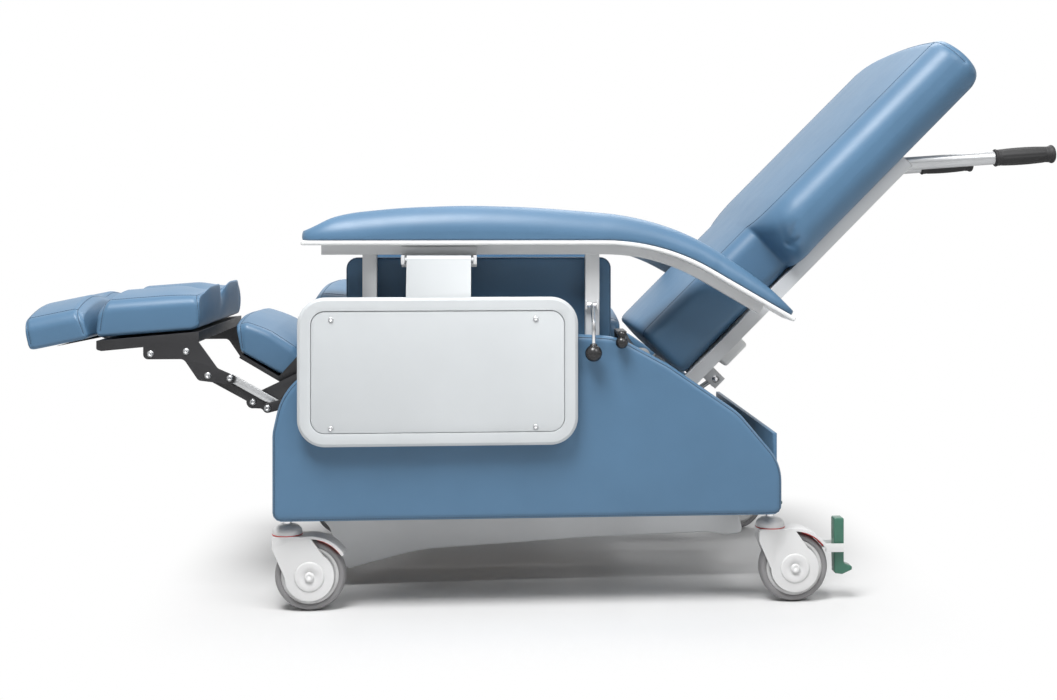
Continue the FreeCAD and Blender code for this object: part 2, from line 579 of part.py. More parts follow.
# Push handles: tubes coped onto the ends of the rails, with sleeves to hold
for hand, side in SIDES:
    y = side * (D["rail_inner"] + D["tube"] / 2)
    start = V(D["handle_foot_x"], y, D["handle_foot_z"])
    away = V(D["grip_end"] - 4, y, D["handle_z"])
    along = (away - start).normalize()
    stock = Part.makeCylinder(D["handle_radius"], (away - start).Length, start, along)
    rail_block = Part.makeBox(D["rail_end"] + 60, D["tube"] + 0.6, D["tube"] + 0.6)
    rail_block.translate(V(-59.7, y - D["tube"] / 2 - 0.3, D["rail_face"] - D["tube"] - 0.3))
    rail_block.Placement = LEAN.multiply(rail_block.Placement)
    node(hand + "_push_handle", feature(hand + "_handle", stock.cut(rail_block)))
    grip_from = away - along * (D["grip_end"] - D["grip_start"])
    sleeve = Part.makeCylinder(D["grip_radius"], (away - grip_from).Length + 4, grip_from, along)
    sleeve = sleeve.makeChamfer(4, [e for e in sleeve.Edges if e.Closed])
    hollow = Part.makeCylinder(D["handle_radius"] + 0.1, (away - grip_from).Length + 1.2, grip_from - along,
                               along)
    node(hand + "_hand_grip", feature(hand + "_grip", sleeve.cut(hollow)))

# Gas spring between the middle beam and the back's lug
foot = V(D["gas_foot_x"], 0, D["gas_foot_z"])
head = V(back_point(78, -163)[0], 0, back_point(78, -163)[1])
axis = (head - foot).normalize()
barrel = Part.makeCylinder(D["gas_radius"], 176, foot + axis * 8, axis)
barrel = barrel.fuse(Part.makeCylinder(12, 20, foot - V(0, 10, 0), V(0, 1, 0)))
barrel = barrel.cut(Part.makeCylinder(5.06, 40, foot - V(0, 20, 0), V(0, 1, 0)))
barrel = barrel.cut(Part.makeCylinder(D["gas_rod"] + 0.06, 190, foot + axis * 30, axis))
node("gas_cylinder", feature("gas_barrel", barrel.removeSplitter()))
reach = (head - foot).Length
stick = Part.makeCylinder(D["gas_rod"], reach - 50, foot + axis * 44, axis)
stick = stick.fuse(Part.makeCylinder(11, 20, head - V(0, 10, 0), V(0, 1, 0)))
eye_pin = Part.makeCylinder(4, 44, head - V(0, 22, 0), V(0, 1, 0))
node("gas_rod", feature("gas_stick", stick.fuse(eye_pin).removeSplitter()))

# Arms: a bent rail on two posts, trim, pad, inner panel, tray bracket, latch lever
arc_centre = V(D["arm_bend"], 0, D["arm_base"] - D["arm_bend_radius"])
bend = math.radians(D["arm_bend_angle"])


def arm_point(x, drop):
    """Side-view point on the arm's curve at a drop below the pad's seat, and the curve's up direction."""
    radius = D["arm_bend_radius"] - drop
    if x <= D["arm_bend"]:
        return (x, D["arm_base"] - drop), (0, 1)
    turn = math.asin(min(1, (x - D["arm_bend"]) / radius))
    if turn <= bend:
        up = (math.sin(turn), math.cos(turn))
        return (x, arc_centre.z + radius * up[1]), up
    up = (math.sin(bend), math.cos(bend))
    corner = (D["arm_bend"] + radius * up[0], arc_centre.z + radius * up[1])
    return (x, corner[1] - (x - corner[0]) * math.tan(bend)), up


def arm_sweep(y, width, drop, height, x_front, x_rear):
    """A flat bar bent along the arm's curve, its middle at a drop below the pad's seat."""
    radius = D["arm_bend_radius"] - drop
    level = D["arm_base"] - drop
    turn_mid, turn_end = bend / 2, bend

    def on_arc(turn):
        return V(D["arm_bend"] + radius * math.sin(turn), y, arc_centre.z + radius * math.cos(turn))

    start = V(x_front, y, level)
    rear_spot = arm_point(x_rear, drop)[0]
    path = Part.Wire([
        Part.LineSegment(start, V(D["arm_bend"], y, level)).toShape(),
        Part.Arc(V(D["arm_bend"], y, level), on_arc(turn_mid), on_arc(turn_end)).toShape(),
        Part.LineSegment(on_arc(turn_end), V(rear_spot[0], y, rear_spot[1])).toShape()])
    ways = ((-1, -1), (1, -1), (1, 1), (-1, 1))
    corners = [V(x_front, y + a * width / 2, level + b * height / 2) for a, b in ways]
    profile = Part.makePolygon(corners + corners[:1])
    return path.makePipeShell([profile], True, False)


pad_heights = [(D["arm_front"], 26, 6, 6), (D["arm_front"] + 12, 40, 20, 7), (-371, 50, 34, 8),
               (-150, 50, 48, 11), (84, 50, 36, 9), (174, 50, 27, 8), (320, 50, 22, 7), (385, 48, 18, 6),
               (D["arm_rear"] - 12, 40, 10, 4), (D["arm_rear"], 28, 4, 2)]
flat_pad = [((x, 0), (0, 1), half, height, crown, 1.5) for x, half, height, crown in pad_heights]
for hand, side in SIDES:
    y = side * D["post_y"]
    rail = feature(hand + "_arm_rail", arm_sweep(y, D["rail_width"], D["trim"] + D["rail_height"] / 2 + 0.2,
                                                 D["rail_height"], -409, 375))
    parts = [rail]
    for end in ("front", "rear"):
        x, py = "post_" + end, "post_y * %d" % side
        parts.append(box("%s_%s_post" % (hand, end), (x + " - post / 2", x + " + post / 2"),
                         (py + " - post / 2", py + " + post / 2"),
                         ("post_low", "arm_base - trim - rail_height + 2")))
        spacer_y = ("arm_panel_inner + arm_panel_sheet", "post_y - post / 2 + 2")
        if side < 0:
            spacer_y = ("-post_y + post / 2 - 2", "-arm_panel_inner - arm_panel_sheet")
        for k, level in enumerate((535, 600)):
            parts.append(box("%s_%s_spacer%d" % (hand, end, k), (x + " - 9", x + " + 9"), spacer_y,
                             (level, level + 18)))
    clip_y = ("post_y + post / 2 - 1", "post_y + post / 2 + 12")
    if side < 0:
        clip_y = ("-post_y - post / 2 - 12", "-post_y - post / 2 + 1")
    for k, near in enumerate((-11.5, 8.5)):
        parts.append(box("%s_clip%d" % (hand, k), ("latch_x + %s" % near, "latch_x + %s" % (near + 3)),
                         clip_y, ("latch_z - 8", "latch_z + 8")))
    node(hand + "_arm_frame", fuse(hand + "_arm_weld", parts))
    lip = arm_sweep(y, 2 * D["arm_half"], D["trim"] / 2, D["trim"], D["arm_front"] + 2, D["arm_rear"] - 2)
    node(hand + "_arm_trim", feature(hand + "_arm_base", lip))
    stations = []
    for (x, _), _, half, height, crown, draw in spaced(flat_pad, 36):
        foot_at, up = arm_point(x, -0.6)
        stations.append((foot_at, up, half, height, crown, draw))
    shape = cushion(stations)
    shape.translate(V(0, y, 0))
    node(hand + "_arm_pad", feature(hand + "_arm_stuffing", shape))
    board = [(D["arm_panel_front"], 430, 20), (D["arm_panel_rear"], 430, 20),
             (D["arm_panel_rear"], 622, 20), (D["arm_panel_front"], 622, 20)]
    panel_y = outward(side, "arm_panel_inner", "arm_panel_sheet")
    node(hand + "_arm_panel", prism(hand + "_arm_board", [rounded(board)], panel_y, "arm_panel_sheet", 3))
    strap_y = ("post_y + rail_width / 2", "post_y + rail_width / 2 + 4")
    cheek_y = ("post_y + rail_width / 2", "hinge_y + 7")
    if side < 0:
        strap_y = ("-post_y - rail_width / 2 - 4", "-post_y - rail_width / 2")
        cheek_y = ("-hinge_y - 7", "-post_y - rail_width / 2")
    strap = box(hand + "_tray_strap", ("tray_middle - 66", "tray_middle + 66"), strap_y, (606, 642))
    holders = [strap]
    for k, near in enumerate((-66, 60)):
        span = ("tray_middle + %d" % near, "tray_middle + %d" % (near + 6))
        holders.append(box("%s_tray_cheek%d" % (hand, k), span, cheek_y, ("hinge_z - 8", "hinge_z + 8")))
    holders.append(rod(hand + "_tray_pin", "x", ("tray_middle - 66", "hinge_y * %d" % side, "hinge_z"),
                       "hinge_pin", 132))
    node(hand + "_tray_bracket", fuse(hand + "_bracket_weld", holders))

    # Latch lever: a bent rod from the clip over the panel, with a ball
    lever_path = [V(D["latch_x"], side * 333, D["latch_z"]), V(D["latch_x"], side * 346, D["latch_z"] - 2),
                  V(D["latch_x"], side * D["ball_y"], 508),
                  V(D["latch_x"], side * D["ball_y"], D["ball_z"] + 6)]
    wire = Part.makePolygon(lever_path)
    profile = Part.Wire([Part.Circle(lever_path[0], lever_path[1] - lever_path[0], D["rod"]).toShape()])
    lever = wire.makePipeShell([profile], True, False, 2)
    boss = Part.makeCylinder(5, 16, V(D["latch_x"] - 8, side * 332, D["latch_z"]), V(1, 0, 0))
    knob = Part.makeSphere(D["ball_radius"], V(D["latch_x"], side * D["ball_y"], D["ball_z"]))
    node(hand + "_latch_lever", feature(hand + "_latch_rod", lever.fuse(boss).removeSplitter()))
    node(hand + "_latch_knob", feature(hand + "_latch_ball", knob.cut(lever)))

    # Side tray: a rimmed board with a hanger, and its inset
    half = D["tray_length"] / 2
    corner = D["tray_corner"]
    x0, x1 = D["tray_middle"] - half, D["tray_middle"] + half
    z0, z1 = D["tray_low"], D["tray_low"] + D["tray_height"]
    rim = D["tray_rim"]
    outline = [(x0, z0, corner), (x1, z0, corner), (x1, z1, corner), (x0, z1, corner)]
    inset = [(x0 + rim, z0 + rim, corner - rim), (x1 - rim, z0 + rim, corner - rim),
             (x1 - rim, z1 - rim, corner - rim), (x0 + rim, z1 - rim, corner - rim)]
    tray_y = outward(side, "tray_inner", "tray_sheet")
    slab = prism(hand + "_tray_slab", [rounded(outline)], tray_y, "tray_sheet", 5)
    well_y = "-(tray_inner + tray_sheet - 5)" if side < 0 else "tray_inner + tray_sheet + 5"
    well = prism(hand + "_tray_well", [rounded(inset)], well_y, 10)
    mid, hh = D["tray_middle"], D["hanger_length"] / 2
    neck_yz = [V(0, side * (D["hinge_y"] - 3), D["hinge_z"] - 6),
               V(0, side * (D["hinge_y"] + 6), D["hinge_z"] + 4),
               V(0, side * (D["tray_inner"] + 14), 566), V(0, side * (D["tray_inner"] + 14), 545),
               V(0, side * (D["tray_inner"] + 1), 545)]
    neck = Part.Face(Part.makePolygon(neck_yz + neck_yz[:1])).extrude(V(2 * hh, 0, 0))
    neck.translate(V(mid - hh, 0, 0))
    knuckle = Part.makeCylinder(8, 2 * hh, V(mid - hh, side * D["hinge_y"], D["hinge_z"]), V(1, 0, 0))
    way_start = V(mid - hh - 1, side * D["hinge_y"], D["hinge_z"])
    pin_way = Part.makeCylinder(D["hinge_pin"] + 0.06, 2 * hh + 2, way_start, V(1, 0, 0))
    hanger = feature(hand + "_tray_hanger", neck.fuse(knuckle).cut(pin_way))
    whole = fuse(hand + "_tray_weld", [cut(hand + "_tray_rim", slab, well), hanger])
    node(hand + "_tray_frame", whole)
    plate = [(a + (1 if a < mid else -1), b + (1 if b < (z0 + z1) / 2 else -1), r - 1) for a, b, r in inset]
    plate_y = "-(tray_inner + tray_sheet - 4.8)" if side < 0 else "tray_inner + tray_sheet - 1"
    node(hand + "_tray_panel", prism(hand + "_tray_plate", [rounded(plate)], plate_y, 3.8))

# Recline lever on the sitter's left: a cross shaft, a flat arm over the panel's top, and a knob
lever_parts = [
    rod("lever_shaft", "y", ("lever_x", -318, "lever_z"), 6, "318 - plate_inner"),
    box("lever_arm", ("lever_x - 8", "lever_x + 8"), (-318, -312), ("lever_z", 494)),
    box("lever_bar", ("lever_x - 8", "lever_x + 8"), (-380, -312), (489, 494)),
    rod("lever_neck", "z", ("lever_x", -376, 476), 4, 16),
]
node("recline_lever", fuse("lever_weld", lever_parts))
neck_way = rod("knob_way", "z", ("lever_x", -376, 475), 4.02, 30)
node("recline_knob", cut("knob_drilled", ball("knob", ("lever_x", -376, 474), "knob_radius"), neck_way))

DOC.recompute()
faults = [item.Label for item in DOC.Objects if "Invalid" in item.State or "Error" in item.State]
assert not faults, "objects in error: %s" % faults
os.makedirs("parts", exist_ok=True)
for label, item in NODES:
    assert not item.Shape.isNull() and item.Shape.isValid(), label + " has no valid shape"
    assert item.Shape.Solids, label + " has no solid"
    item.Shape.exportStep("parts/%s.step" % label)
print(len(NODES), "sub-parts written")
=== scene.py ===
import json
import math

import bmesh
import bpy
import numpy as np
from bpy.props import FloatProperty, FloatVectorProperty, PointerProperty
from bpy.types import Operator, Panel, PropertyGroup
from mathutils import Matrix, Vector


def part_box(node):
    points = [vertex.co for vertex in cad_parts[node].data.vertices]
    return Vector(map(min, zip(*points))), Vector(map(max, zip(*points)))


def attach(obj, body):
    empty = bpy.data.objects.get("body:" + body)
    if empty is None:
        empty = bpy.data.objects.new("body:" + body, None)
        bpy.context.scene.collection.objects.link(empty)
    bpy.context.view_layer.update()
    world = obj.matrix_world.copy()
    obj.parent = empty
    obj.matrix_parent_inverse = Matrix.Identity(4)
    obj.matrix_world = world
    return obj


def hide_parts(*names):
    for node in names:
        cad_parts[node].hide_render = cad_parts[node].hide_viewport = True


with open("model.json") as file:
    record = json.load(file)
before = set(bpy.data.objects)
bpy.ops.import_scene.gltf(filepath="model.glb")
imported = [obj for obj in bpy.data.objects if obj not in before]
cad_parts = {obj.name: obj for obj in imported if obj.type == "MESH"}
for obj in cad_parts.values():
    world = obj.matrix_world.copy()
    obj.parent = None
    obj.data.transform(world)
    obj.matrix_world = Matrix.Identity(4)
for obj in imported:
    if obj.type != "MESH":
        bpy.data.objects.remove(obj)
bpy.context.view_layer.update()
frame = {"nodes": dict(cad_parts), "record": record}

bl_info = {
    "name": "Clinical recliner",
    "version": (1, 0, 0),
    "blender": (4, 5, 0),
    "location": "View3D > Sidebar > Recliner",
    "description": "Upholstery, finishes and stage of a wheeled clinical recliner around its CAD frame",
    "category": "Object",
}

SIDES = (("left", -1), ("right", 1))
CASTERS = tuple(end + "_" + hand for end in ("front", "rear") for hand, _ in SIDES)

# Sizes below are in metres, and places are (x, z) in the side view. A NARROW value is the share of an end's
# inset that draws a pad's sides in, and a SEAM value is the distance of an end's seam from that end

# Seat: its slope, the front of its underside, and how far the cover stands out beyond the solid
SEAT_SLOPE = math.radians(5.3)
SEAT_FOOT = np.array([-0.428, 0.462])
SEAT_HALF = 0.257
SEAT_HEIGHT = 0.092
SEAT_OVERHANG = 0.010
SEAT_EXTRA_LENGTH = 0.006
SEAT_NARROW = 0.35
SEAT_SEAM = 0.012
SEAT_ROWS = 90

# Back: its hinge and lean, then distances along the lean from the hinge and heights over the lean; where rows
# crowd, as place, width and gain; the head wings' opening at the underside and at the top, and their tucks
BACK_HINGE = np.array([0.170, 0.430])
BACK_LEAN = math.radians(45)
BACK_FIRST = 0.032
BACK_LAST = 0.814
BACK_UNDER = -0.0745
BACK_HEIGHT = 0.1055
BACK_HALF = 0.243
BACK_LIFT = 0.60
BACK_DROP = 1.12
BACK_NARROW = 0.5
BACK_SEAM = 0.012
BACK_ROWS = 170
BACK_CROWDS = ((0.350, 0.045, 1.6), (BACK_LAST, 0.03, 1.8), (BACK_FIRST, 0.02, 0.8))
WING_START = 0.318
WING_RUN = 0.070
WING_REACH = 0.070
WING_LEAD = 0.004
WING_OPENING = (0.044, 0.090)
WING_POWERS = (2.2, 0.8)
WING_TUCKS = ((-58, 0.026, 0.0040), (-14, 0.034, 0.0046), (28, 0.048, 0.0034), (62, 0.040, 0.0026))
TUCK_WIDTH = 0.0042
TUCK_CORNER = (0.016, 0.40)
TUCK_FADE_IN = (-0.004, 0.006)
SIDE_HEIGHT = 0.10

# Legrest: the pads lie on the line from first to last
LEG_HALF = 0.2285
LEG_PADS = {
    "calf": {"first": (-0.8230, 0.4768), "last": (-0.6400, 0.4902), "height": 0.0620, "crown": 0.018,
             "ends": (0.014, 0.018), "valley": 0.014, "lobe": 0.028, "slants": (0.22, -0.04)},
    "foot": {"first": (-0.9415, 0.4535), "last": (-0.8365, 0.4750), "height": 0.0520, "crown": 0.028,
             "ends": (0.012, 0.012), "valley": 0.008, "lobe": 0.0, "slants": (0.0, -0.14)},
}
LEG_PAD_BULGES = {"calf": 0.007, "foot": 0.004}
LEG_END_REACH = 0.06
LEG_NARROW = 0.4
LEG_SEAM = 0.006
LEG_ROWS = 64
LOBE_GROOVE = 0.030
LOBE_LEVELLING = 0.8
LOBE_SIDE_FALL = 0.7
LOBE_FULL_TO = 0.6

# Middle leg pad: stations from front to rear as x, z, up x, up z, half width, height
MIDDLE_STATIONS = np.array([
    (-0.5700, 0.4450, -0.20, 0.980, 0.189, 0.048), (-0.5620, 0.4405, 0.02, 1.000, 0.193, 0.057),
    (-0.5380, 0.4275, 0.40, 0.917, 0.194, 0.057), (-0.5020, 0.4070, 0.515, 0.857, 0.194, 0.053),
    (-0.4860, 0.3978, 0.515, 0.857, 0.193, 0.047), (-0.4790, 0.3938, 0.515, 0.857, 0.189, 0.040)])
MIDDLE_ROWS = 46
MIDDLE_SEAM_ROW = 2

# Arms: where the rail bends down; the wall, the crown and the edge round as shares of the pad's height; its
# heights by distance from its front; gathers by place and depth
ARM_BEND_X = 0.090
ARM_BEND_RADIUS = 0.380
ARM_BEND_ANGLE = math.radians(30)
ARM_BASE_Z = 0.653
ARM_MIDDLE_Y = 0.3125
ARM_HALF = 0.0485
ARM_NARROW = 0.45
ARM_REAR_GAP = 0.006
ARM_TRIM_GAP = 0.0008
ARM_SMOOTHING = 17
ARM_ROWS = 200
ARM_WALL, ARM_CROWN, ARM_EDGE = 0.90, 0.12, 0.84
ARM_EDGE_MOST = 0.038
ARM_HEIGHTS = np.array([
    (0, 0.010), (0.03, 0.032), (0.075, 0.046), (0.18, 0.056), (0.30, 0.060), (0.42, 0.057), (0.53, 0.049),
    (0.62, 0.041), (0.76, 0.033), (0.84, 0.028), (0.90, 0.020), (0.94, 0.006)])
ARM_GATHERS = ((0.700, 0.0016), (0.709, 0.0012), (0.738, 0.0020), (0.746, 0.0016), (0.790, 0.0008))
GATHER_WIDTH = 0.0032
GATHER_HEIGHT = 0.45

# Panels: corners of the side panel as x, z, radius; inner and outer faces by distance from the middle plane
SIDE_PANEL = ((-0.491, 0.163, 0.016), (0.407, 0.163, 0.016), (0.407, 0.255, 0.090), (0.330, 0.346, 0.120),
              (0.205, 0.432, 0.090), (0.112, 0.483, 0.120), (0.040, 0.487, 0.200), (-0.368, 0.487, 0.070),
              (-0.476, 0.385, 0.110), (-0.491, 0.318, 0.060))
SIDE_PANEL_FACES = np.array([0.3300, 0.3610])
ARM_PANEL_FACES = np.array([0.2715, 0.2825])
ARM_PANEL_CORNER = 0.02
PANEL_CORE = 0.04

# Heads of bolts and screws: heights, and radii as shares of the head's own
BOLT_HEAD = ((0.0, 1.30), (0.0010, 1.30), (0.0010, 1.0), (0.0026, 0.98), (0.0034, 0.84), (0.0036, 0.52),
             (0.0020, 0.46), (0.0020, 0.0))
SCREW_HEAD = ((0.0, 1.0), (0.0008, 1.0), (0.0018, 0.8), (0.0022, 0.45), (0.0012, 0.3), (0.0012, 0.0))

# Link bolts: pivot, distance of the head's seat from the middle plane, body
LINK_BOLTS = (
    ((-0.6230, 0.4070), 0.2340, "legrest"), ((-0.5830, 0.4020), 0.2365, "legrest"),
    ((-0.7250, 0.4470), 0.2340, "legrest"), ((-0.6615, 0.4510), 0.2340, "legrest"),
    ((-0.5160, 0.3470), 0.2365, "lower"), ((-0.4140, 0.3730), 0.2340, "lower"),
    ((-0.5440, 0.3570), 0.2220, "knee"), ((-0.5003, 0.3541), 0.2280, "upper"))

# Tongue under the foot pad: heights below which a point belongs to its lower face, by x
TONGUE_LEVELS = ((-0.928, -0.845, -0.818), (0.4485, 0.4655, 0.4610))
TONGUE_REAR = -0.8215
TONGUE_HALF = 0.1005
TONGUE_RISE = 0.0055

# Tray screws: radius, and distances from the panel's front, rear, lower and upper edges
SCREW_RADIUS = 0.0048
SCREW_FRONT, SCREW_REAR = 0.034, 0.050
SCREW_LOW, SCREW_HIGH = 0.008, 0.014

# Casters: the axle's distance behind the stem and the stem's bore, then profiles as (distance along, radius)
CASTER_TRAIL = 0.041
STEM_BORE = 0.0076
DOME_HEIGHT = 0.0125
DOME_RINGS = 5
DOME_FALL = 0.80
HUB_FACE = 0.0235
HUB_CAP = ((0.0, 0.0265), (0.0010, 0.0262), (0.0018, 0.0235), (0.0018, 0.0100), (0.0010, 0.0092),
           (0.0010, 0.0085), (0.0048, 0.0078), (0.0054, 0.0046), (0.0048, 0.0036), (0.0048, 0.0))
SEAL = ((0.1336, 0.0255), (0.1336, 0.0266), (0.1350, 0.0266), (0.1350, 0.0255))
TREAD_ARC = 1.35
TREAD_CROWN = 0.006
TREAD_ROWS = 21
WHEEL_POINTS = 72

# Wheel sections: across as shares of the half width; shoulders by depth under the tread, the rim by radius
NEAR_SHOULDER = np.array([(-0.86, 0.0125), (-1.0, 0.0105)])
FAR_SHOULDER = np.array([(1.0, 0.0105), (0.86, 0.0125), (0.0, 0.0128)])
RIM_HOLLOW = np.array([(-0.80, 0.0052), (-0.80, 0.014), (-0.55, 0.018), (-0.55, 0.040), (-0.9, 0.0445)])
RIM_EDGE = np.array([(-0.9, 0.0122)])

# Brake shoes: half width, arc over the wheel in degrees, distances from the tread to both faces
SHOE_HALF = 0.0165
SHOE_ARC = (36, 78)
SHOE_ROWS = 18
SHOE_GAP = 0.0010
SHOE_OUTER = 0.0036

# Hand grips: the sleeve's axis, its end's place inside the CAD box, its points around and its flutes
GRIP_AXIS = np.array([0.9975, 0.0, 0.0707])
GRIP_END_X, GRIP_END_Z = 0.0018, 0.0180
GRIP_SHORTER = 0.005
GRIP_ROWS = 140
GRIP_POINTS = 96
GRIP_FLUTES = 12
FLUTE_DEPTH = 0.035
FLUTE_STARTS, FLUTE_STOPS = (0.10, 0.16), (0.80, 0.86)

# The sleeve's radius: at its ends, its swell with the swell's start, run and power, its lips as place, width
# and height, its most, and how far and along what share its ends draw in
GRIP_RADIUS = 0.0150
GRIP_SWELL = 0.0018
SWELL_FROM, SWELL_RUN, SWELL_POWER = 0.05, 0.80, 0.8
GRIP_LIPS = ((0.03, 0.022, 0.0016), (0.955, 0.035, 0.0024))
GRIP_MOST = 0.0176
GRIP_DRAW = 0.0035
GRIP_ROUND = 0.03
GRIP_MOUTH_DEPTHS = np.array([0.0, 0.012, 0.0125])
GRIP_MOUTH_RADII = (0.0085, 0.0080, 0.0010)

# Knobs: distances along and lobe sizes in ball radii; the collar's points also give its radii in metres
KNOB_COLLAR = np.array([(0.96, 0.0062), (1.08, 0.0062), (1.10, 0.0040), (1.10, 0.0002)])
COLLAR_FROM = 0.9
UPPER_LOBE, UPPER_LIFT = 0.68, 1.28
KNOB_WAIST = 0.80
POLE_HOLE = 0.0004
BALL_ROWS = 28

# Stage: lamps as name, place, target, size, watts; the camera stands at the photograph's place
LAMPS = (("key", (-0.8, -1.9, 3.8), (0.0, 0.0, 0.4), 1.7, 200),
         ("fill", (1.9, -2.4, 3.0), (0.2, 0.0, 0.5), 1.8, 50),
         ("top", (0.1, 0.2, 3.8), (0.0, 0.0, 0.3), 2.0, 14),
         ("rear", (0.9, 2.3, 3.6), (0.0, 0.0, 0.4), 2.0, 48))
CAMERA_PLACE = (-0.1226, -2.9424, 0.685)
CAMERA_TURN = math.radians(-4.3)
CAMERA_SHIFT = (-0.0627, -0.1208)
FLOOR_REACH = 30.0
FLOOR_GREY = (0.68, 0.68, 0.68, 1)
FADE_START, FADE_END = 0.46, 0.76
FADE_ROUND = 0.4
WORLD_LIGHT = 0.05
WHITE = (1, 1, 1, 1)


class ReclinerSizes(PropertyGroup):
    """Sizes that a user may change."""
    bevel: FloatProperty(name="Edge round", description="Round on the edges of rigid pieces", default=0.0012,
                         subtype="DISTANCE")
    seam: FloatProperty(name="Seam", description="Radius of a sewn seam's line", default=0.0009,
                        subtype="DISTANCE")
    stitch: FloatProperty(name="Stitch", description="Length of one stitch", default=0.005,
                          subtype="DISTANCE")
    groove: FloatProperty(name="Seam groove", description="How far a seam draws the cover in", default=0.0018,
                          subtype="DISTANCE")
    pressure: FloatProperty(name="Stuffing", description="Pressure of the stuffing while the covers swell",
                            default=4.0)
    swell: FloatProperty(name="Swell", description="Most that the seat's cover may swell", default=0.012,
                         subtype="DISTANCE")
    bolt: FloatProperty(name="Bolt head", description="Radius of the link bolts' heads", default=0.0046,
                        subtype="DISTANCE")


def colour(name, words, value):
    """A colour property."""
    return FloatVectorProperty(name=name, description=words, default=value, size=3, min=0, max=1,
                               subtype="COLOR")


class ReclinerColours(PropertyGroup):
    """Colours that a user may change."""
    vinyl: colour("Vinyl", "Upholstery", (0.080, 0.168, 0.276))
    seam: colour("Seam", "Sewn seams and stitches", (0.040, 0.080, 0.130))
    frame_paint: colour("Frame paint", "Powder coat of the frame", (0.63, 0.64, 0.65))
    link_paint: colour("Link paint", "Powder coat of the legrest links", (0.016, 0.016, 0.018))
    steel: colour("Plated steel", "Zinc plate", (0.55, 0.56, 0.57))
    bright: colour("Bright plate", "Levers and bolts", (0.78, 0.78, 0.79))
    tray: colour("Tray", "Side trays", (0.575, 0.60, 0.615))
    trim: colour("Trim", "Arm trim and housings", (0.78, 0.79, 0.79))
    caster: colour("Caster", "Caster mouldings", (0.70, 0.70, 0.70))
    tyre: colour("Tyre", "Wheel treads", (0.24, 0.235, 0.24))
    rim: colour("Rim", "Wheel rims", (0.62, 0.62, 0.62))
    brake: colour("Brake", "Brake shoes and seals", (0.55, 0.03, 0.03))
    pedal: colour("Pedal", "Brake pedals", (0.035, 0.15, 0.10))
    black: colour("Black", "Knobs and grips", (0.014, 0.014, 0.015))
    board: colour("Board", "Seat board", (0.42, 0.30, 0.19))


def sizes():
    """The scene's sizes."""
    return bpy.context.scene.recliner_sizes


def colours():
    """The scene's colours."""
    return bpy.context.scene.recliner_colours


# Materials: each reads Object coordinates and carries its own grain, wear and gloss
VINYL_NAME = "blue_vinyl"
GRAIN_HEIGHT = 0.0006

# Finishes: material name, colour, roughness, grain's scale, grain's bump, mottle, gloss spread, metal, coat
FINISHES = {
    "seam": ("sewn_seam", "seam", 0.60, 1200, 0.20, 0.06, 0.08, 0.0, 0.0),
    "frame_paint": ("frame_powder_coat", "frame_paint", 0.38, 700, 0.06, 0.03, 0.06, 0.0, 0.0),
    "link_paint": ("link_powder_coat", "link_paint", 0.42, 800, 0.10, 0.15, 0.08, 0.0, 0.0),
    "plate_steel": ("zinc_plate", "steel", 0.34, 320, 0.05, 0.08, 0.10, 0.85, 0.0),
    "bolt": ("bolt_plate", "steel", 0.30, 300, 0.03, 0.06, 0.06, 1.0, 0.0),
    "handle": ("handle_tube", "steel", 0.30, 260, 0.03, 0.05, 0.06, 0.55, 0.0),
    "bright": ("bright_plate", "bright", 0.16, 300, 0.02, 0.03, 0.05, 1.0, 0.0),
    "tray_plastic": ("tray_moulding", "tray", 0.36, 500, 0.05, 0.02, 0.05, 0.0, 0.0),
    "white_plastic": ("white_moulding", "trim", 0.34, 500, 0.04, 0.02, 0.05, 0.0, 0.0),
    "caster_plastic": ("caster_moulding", "caster", 0.36, 520, 0.04, 0.02, 0.05, 0.0, 0.0),
    "tyre": ("tyre_rubber", "tyre", 0.55, 380, 0.12, 0.06, 0.08, 0.0, 0.0),
    "rim": ("rim_moulding", "rim", 0.36, 480, 0.04, 0.03, 0.05, 0.0, 0.0),
    "brake": ("brake_red", "brake", 0.40, 420, 0.05, 0.05, 0.06, 0.0, 0.0),
    "green_plastic": ("pedal_green", "pedal", 0.30, 260, 0.08, 0.12, 0.10, 0.0, 0.3),
    "black_plastic": ("black_moulding", "black", 0.22, 420, 0.03, 0.10, 0.06, 0.0, 0.0),
    "grip_rubber": ("grip_sleeve_rubber", "black", 0.62, 620, 0.25, 0.20, 0.08, 0.0, 0.0),
    "board": ("seat_board_ply", "board", 0.55, 90, 0.12, 0.18, 0.08, 0.0, 0.0),
}


def look(key):
    """The vinyl or the finish with this key, made when it is first asked for."""
    if key == "vinyl":
        return bpy.data.materials.get(VINYL_NAME) or vinyl_finish()
    name, tint, *values = FINISHES[key]
    return bpy.data.materials.get(name) or grained_finish(name, getattr(colours(), tint), *values)


def link(tree, source, socket, target, name):
    """Join one node's output to another's input."""
    tree.links.new(source.outputs[socket], target.inputs[name])


def add_node(tree, kind, **inputs):
    """A shader node with values set on its own sockets."""
    item = tree.nodes.new(kind)
    for name, value in inputs.items():
        item.inputs[name.replace("_", " ")].default_value = value
    return item


def math_node(tree, operation, *sources):
    """A Math node that takes the outputs of (node, socket) pairs in order."""
    item = tree.nodes.new("ShaderNodeMath")
    item.operation = operation
    for place, (node, socket) in enumerate(sources):
        link(tree, node, socket, item, place)
    return item


def noise(tree, place, **inputs):
    """A noise texture on Object coordinates."""
    item = add_node(tree, "ShaderNodeTexNoise", **inputs)
    link(tree, place, "Object", item, "Vector")
    return item


def relief(tree, source, socket, strength, distance, under=None):
    """A bump from a texture, laid over another bump where one is given."""
    item = add_node(tree, "ShaderNodeBump", Strength=strength, Distance=distance)
    link(tree, source, socket, item, "Height")
    if under:
        link(tree, under, "Normal", item, "Normal")
    return item


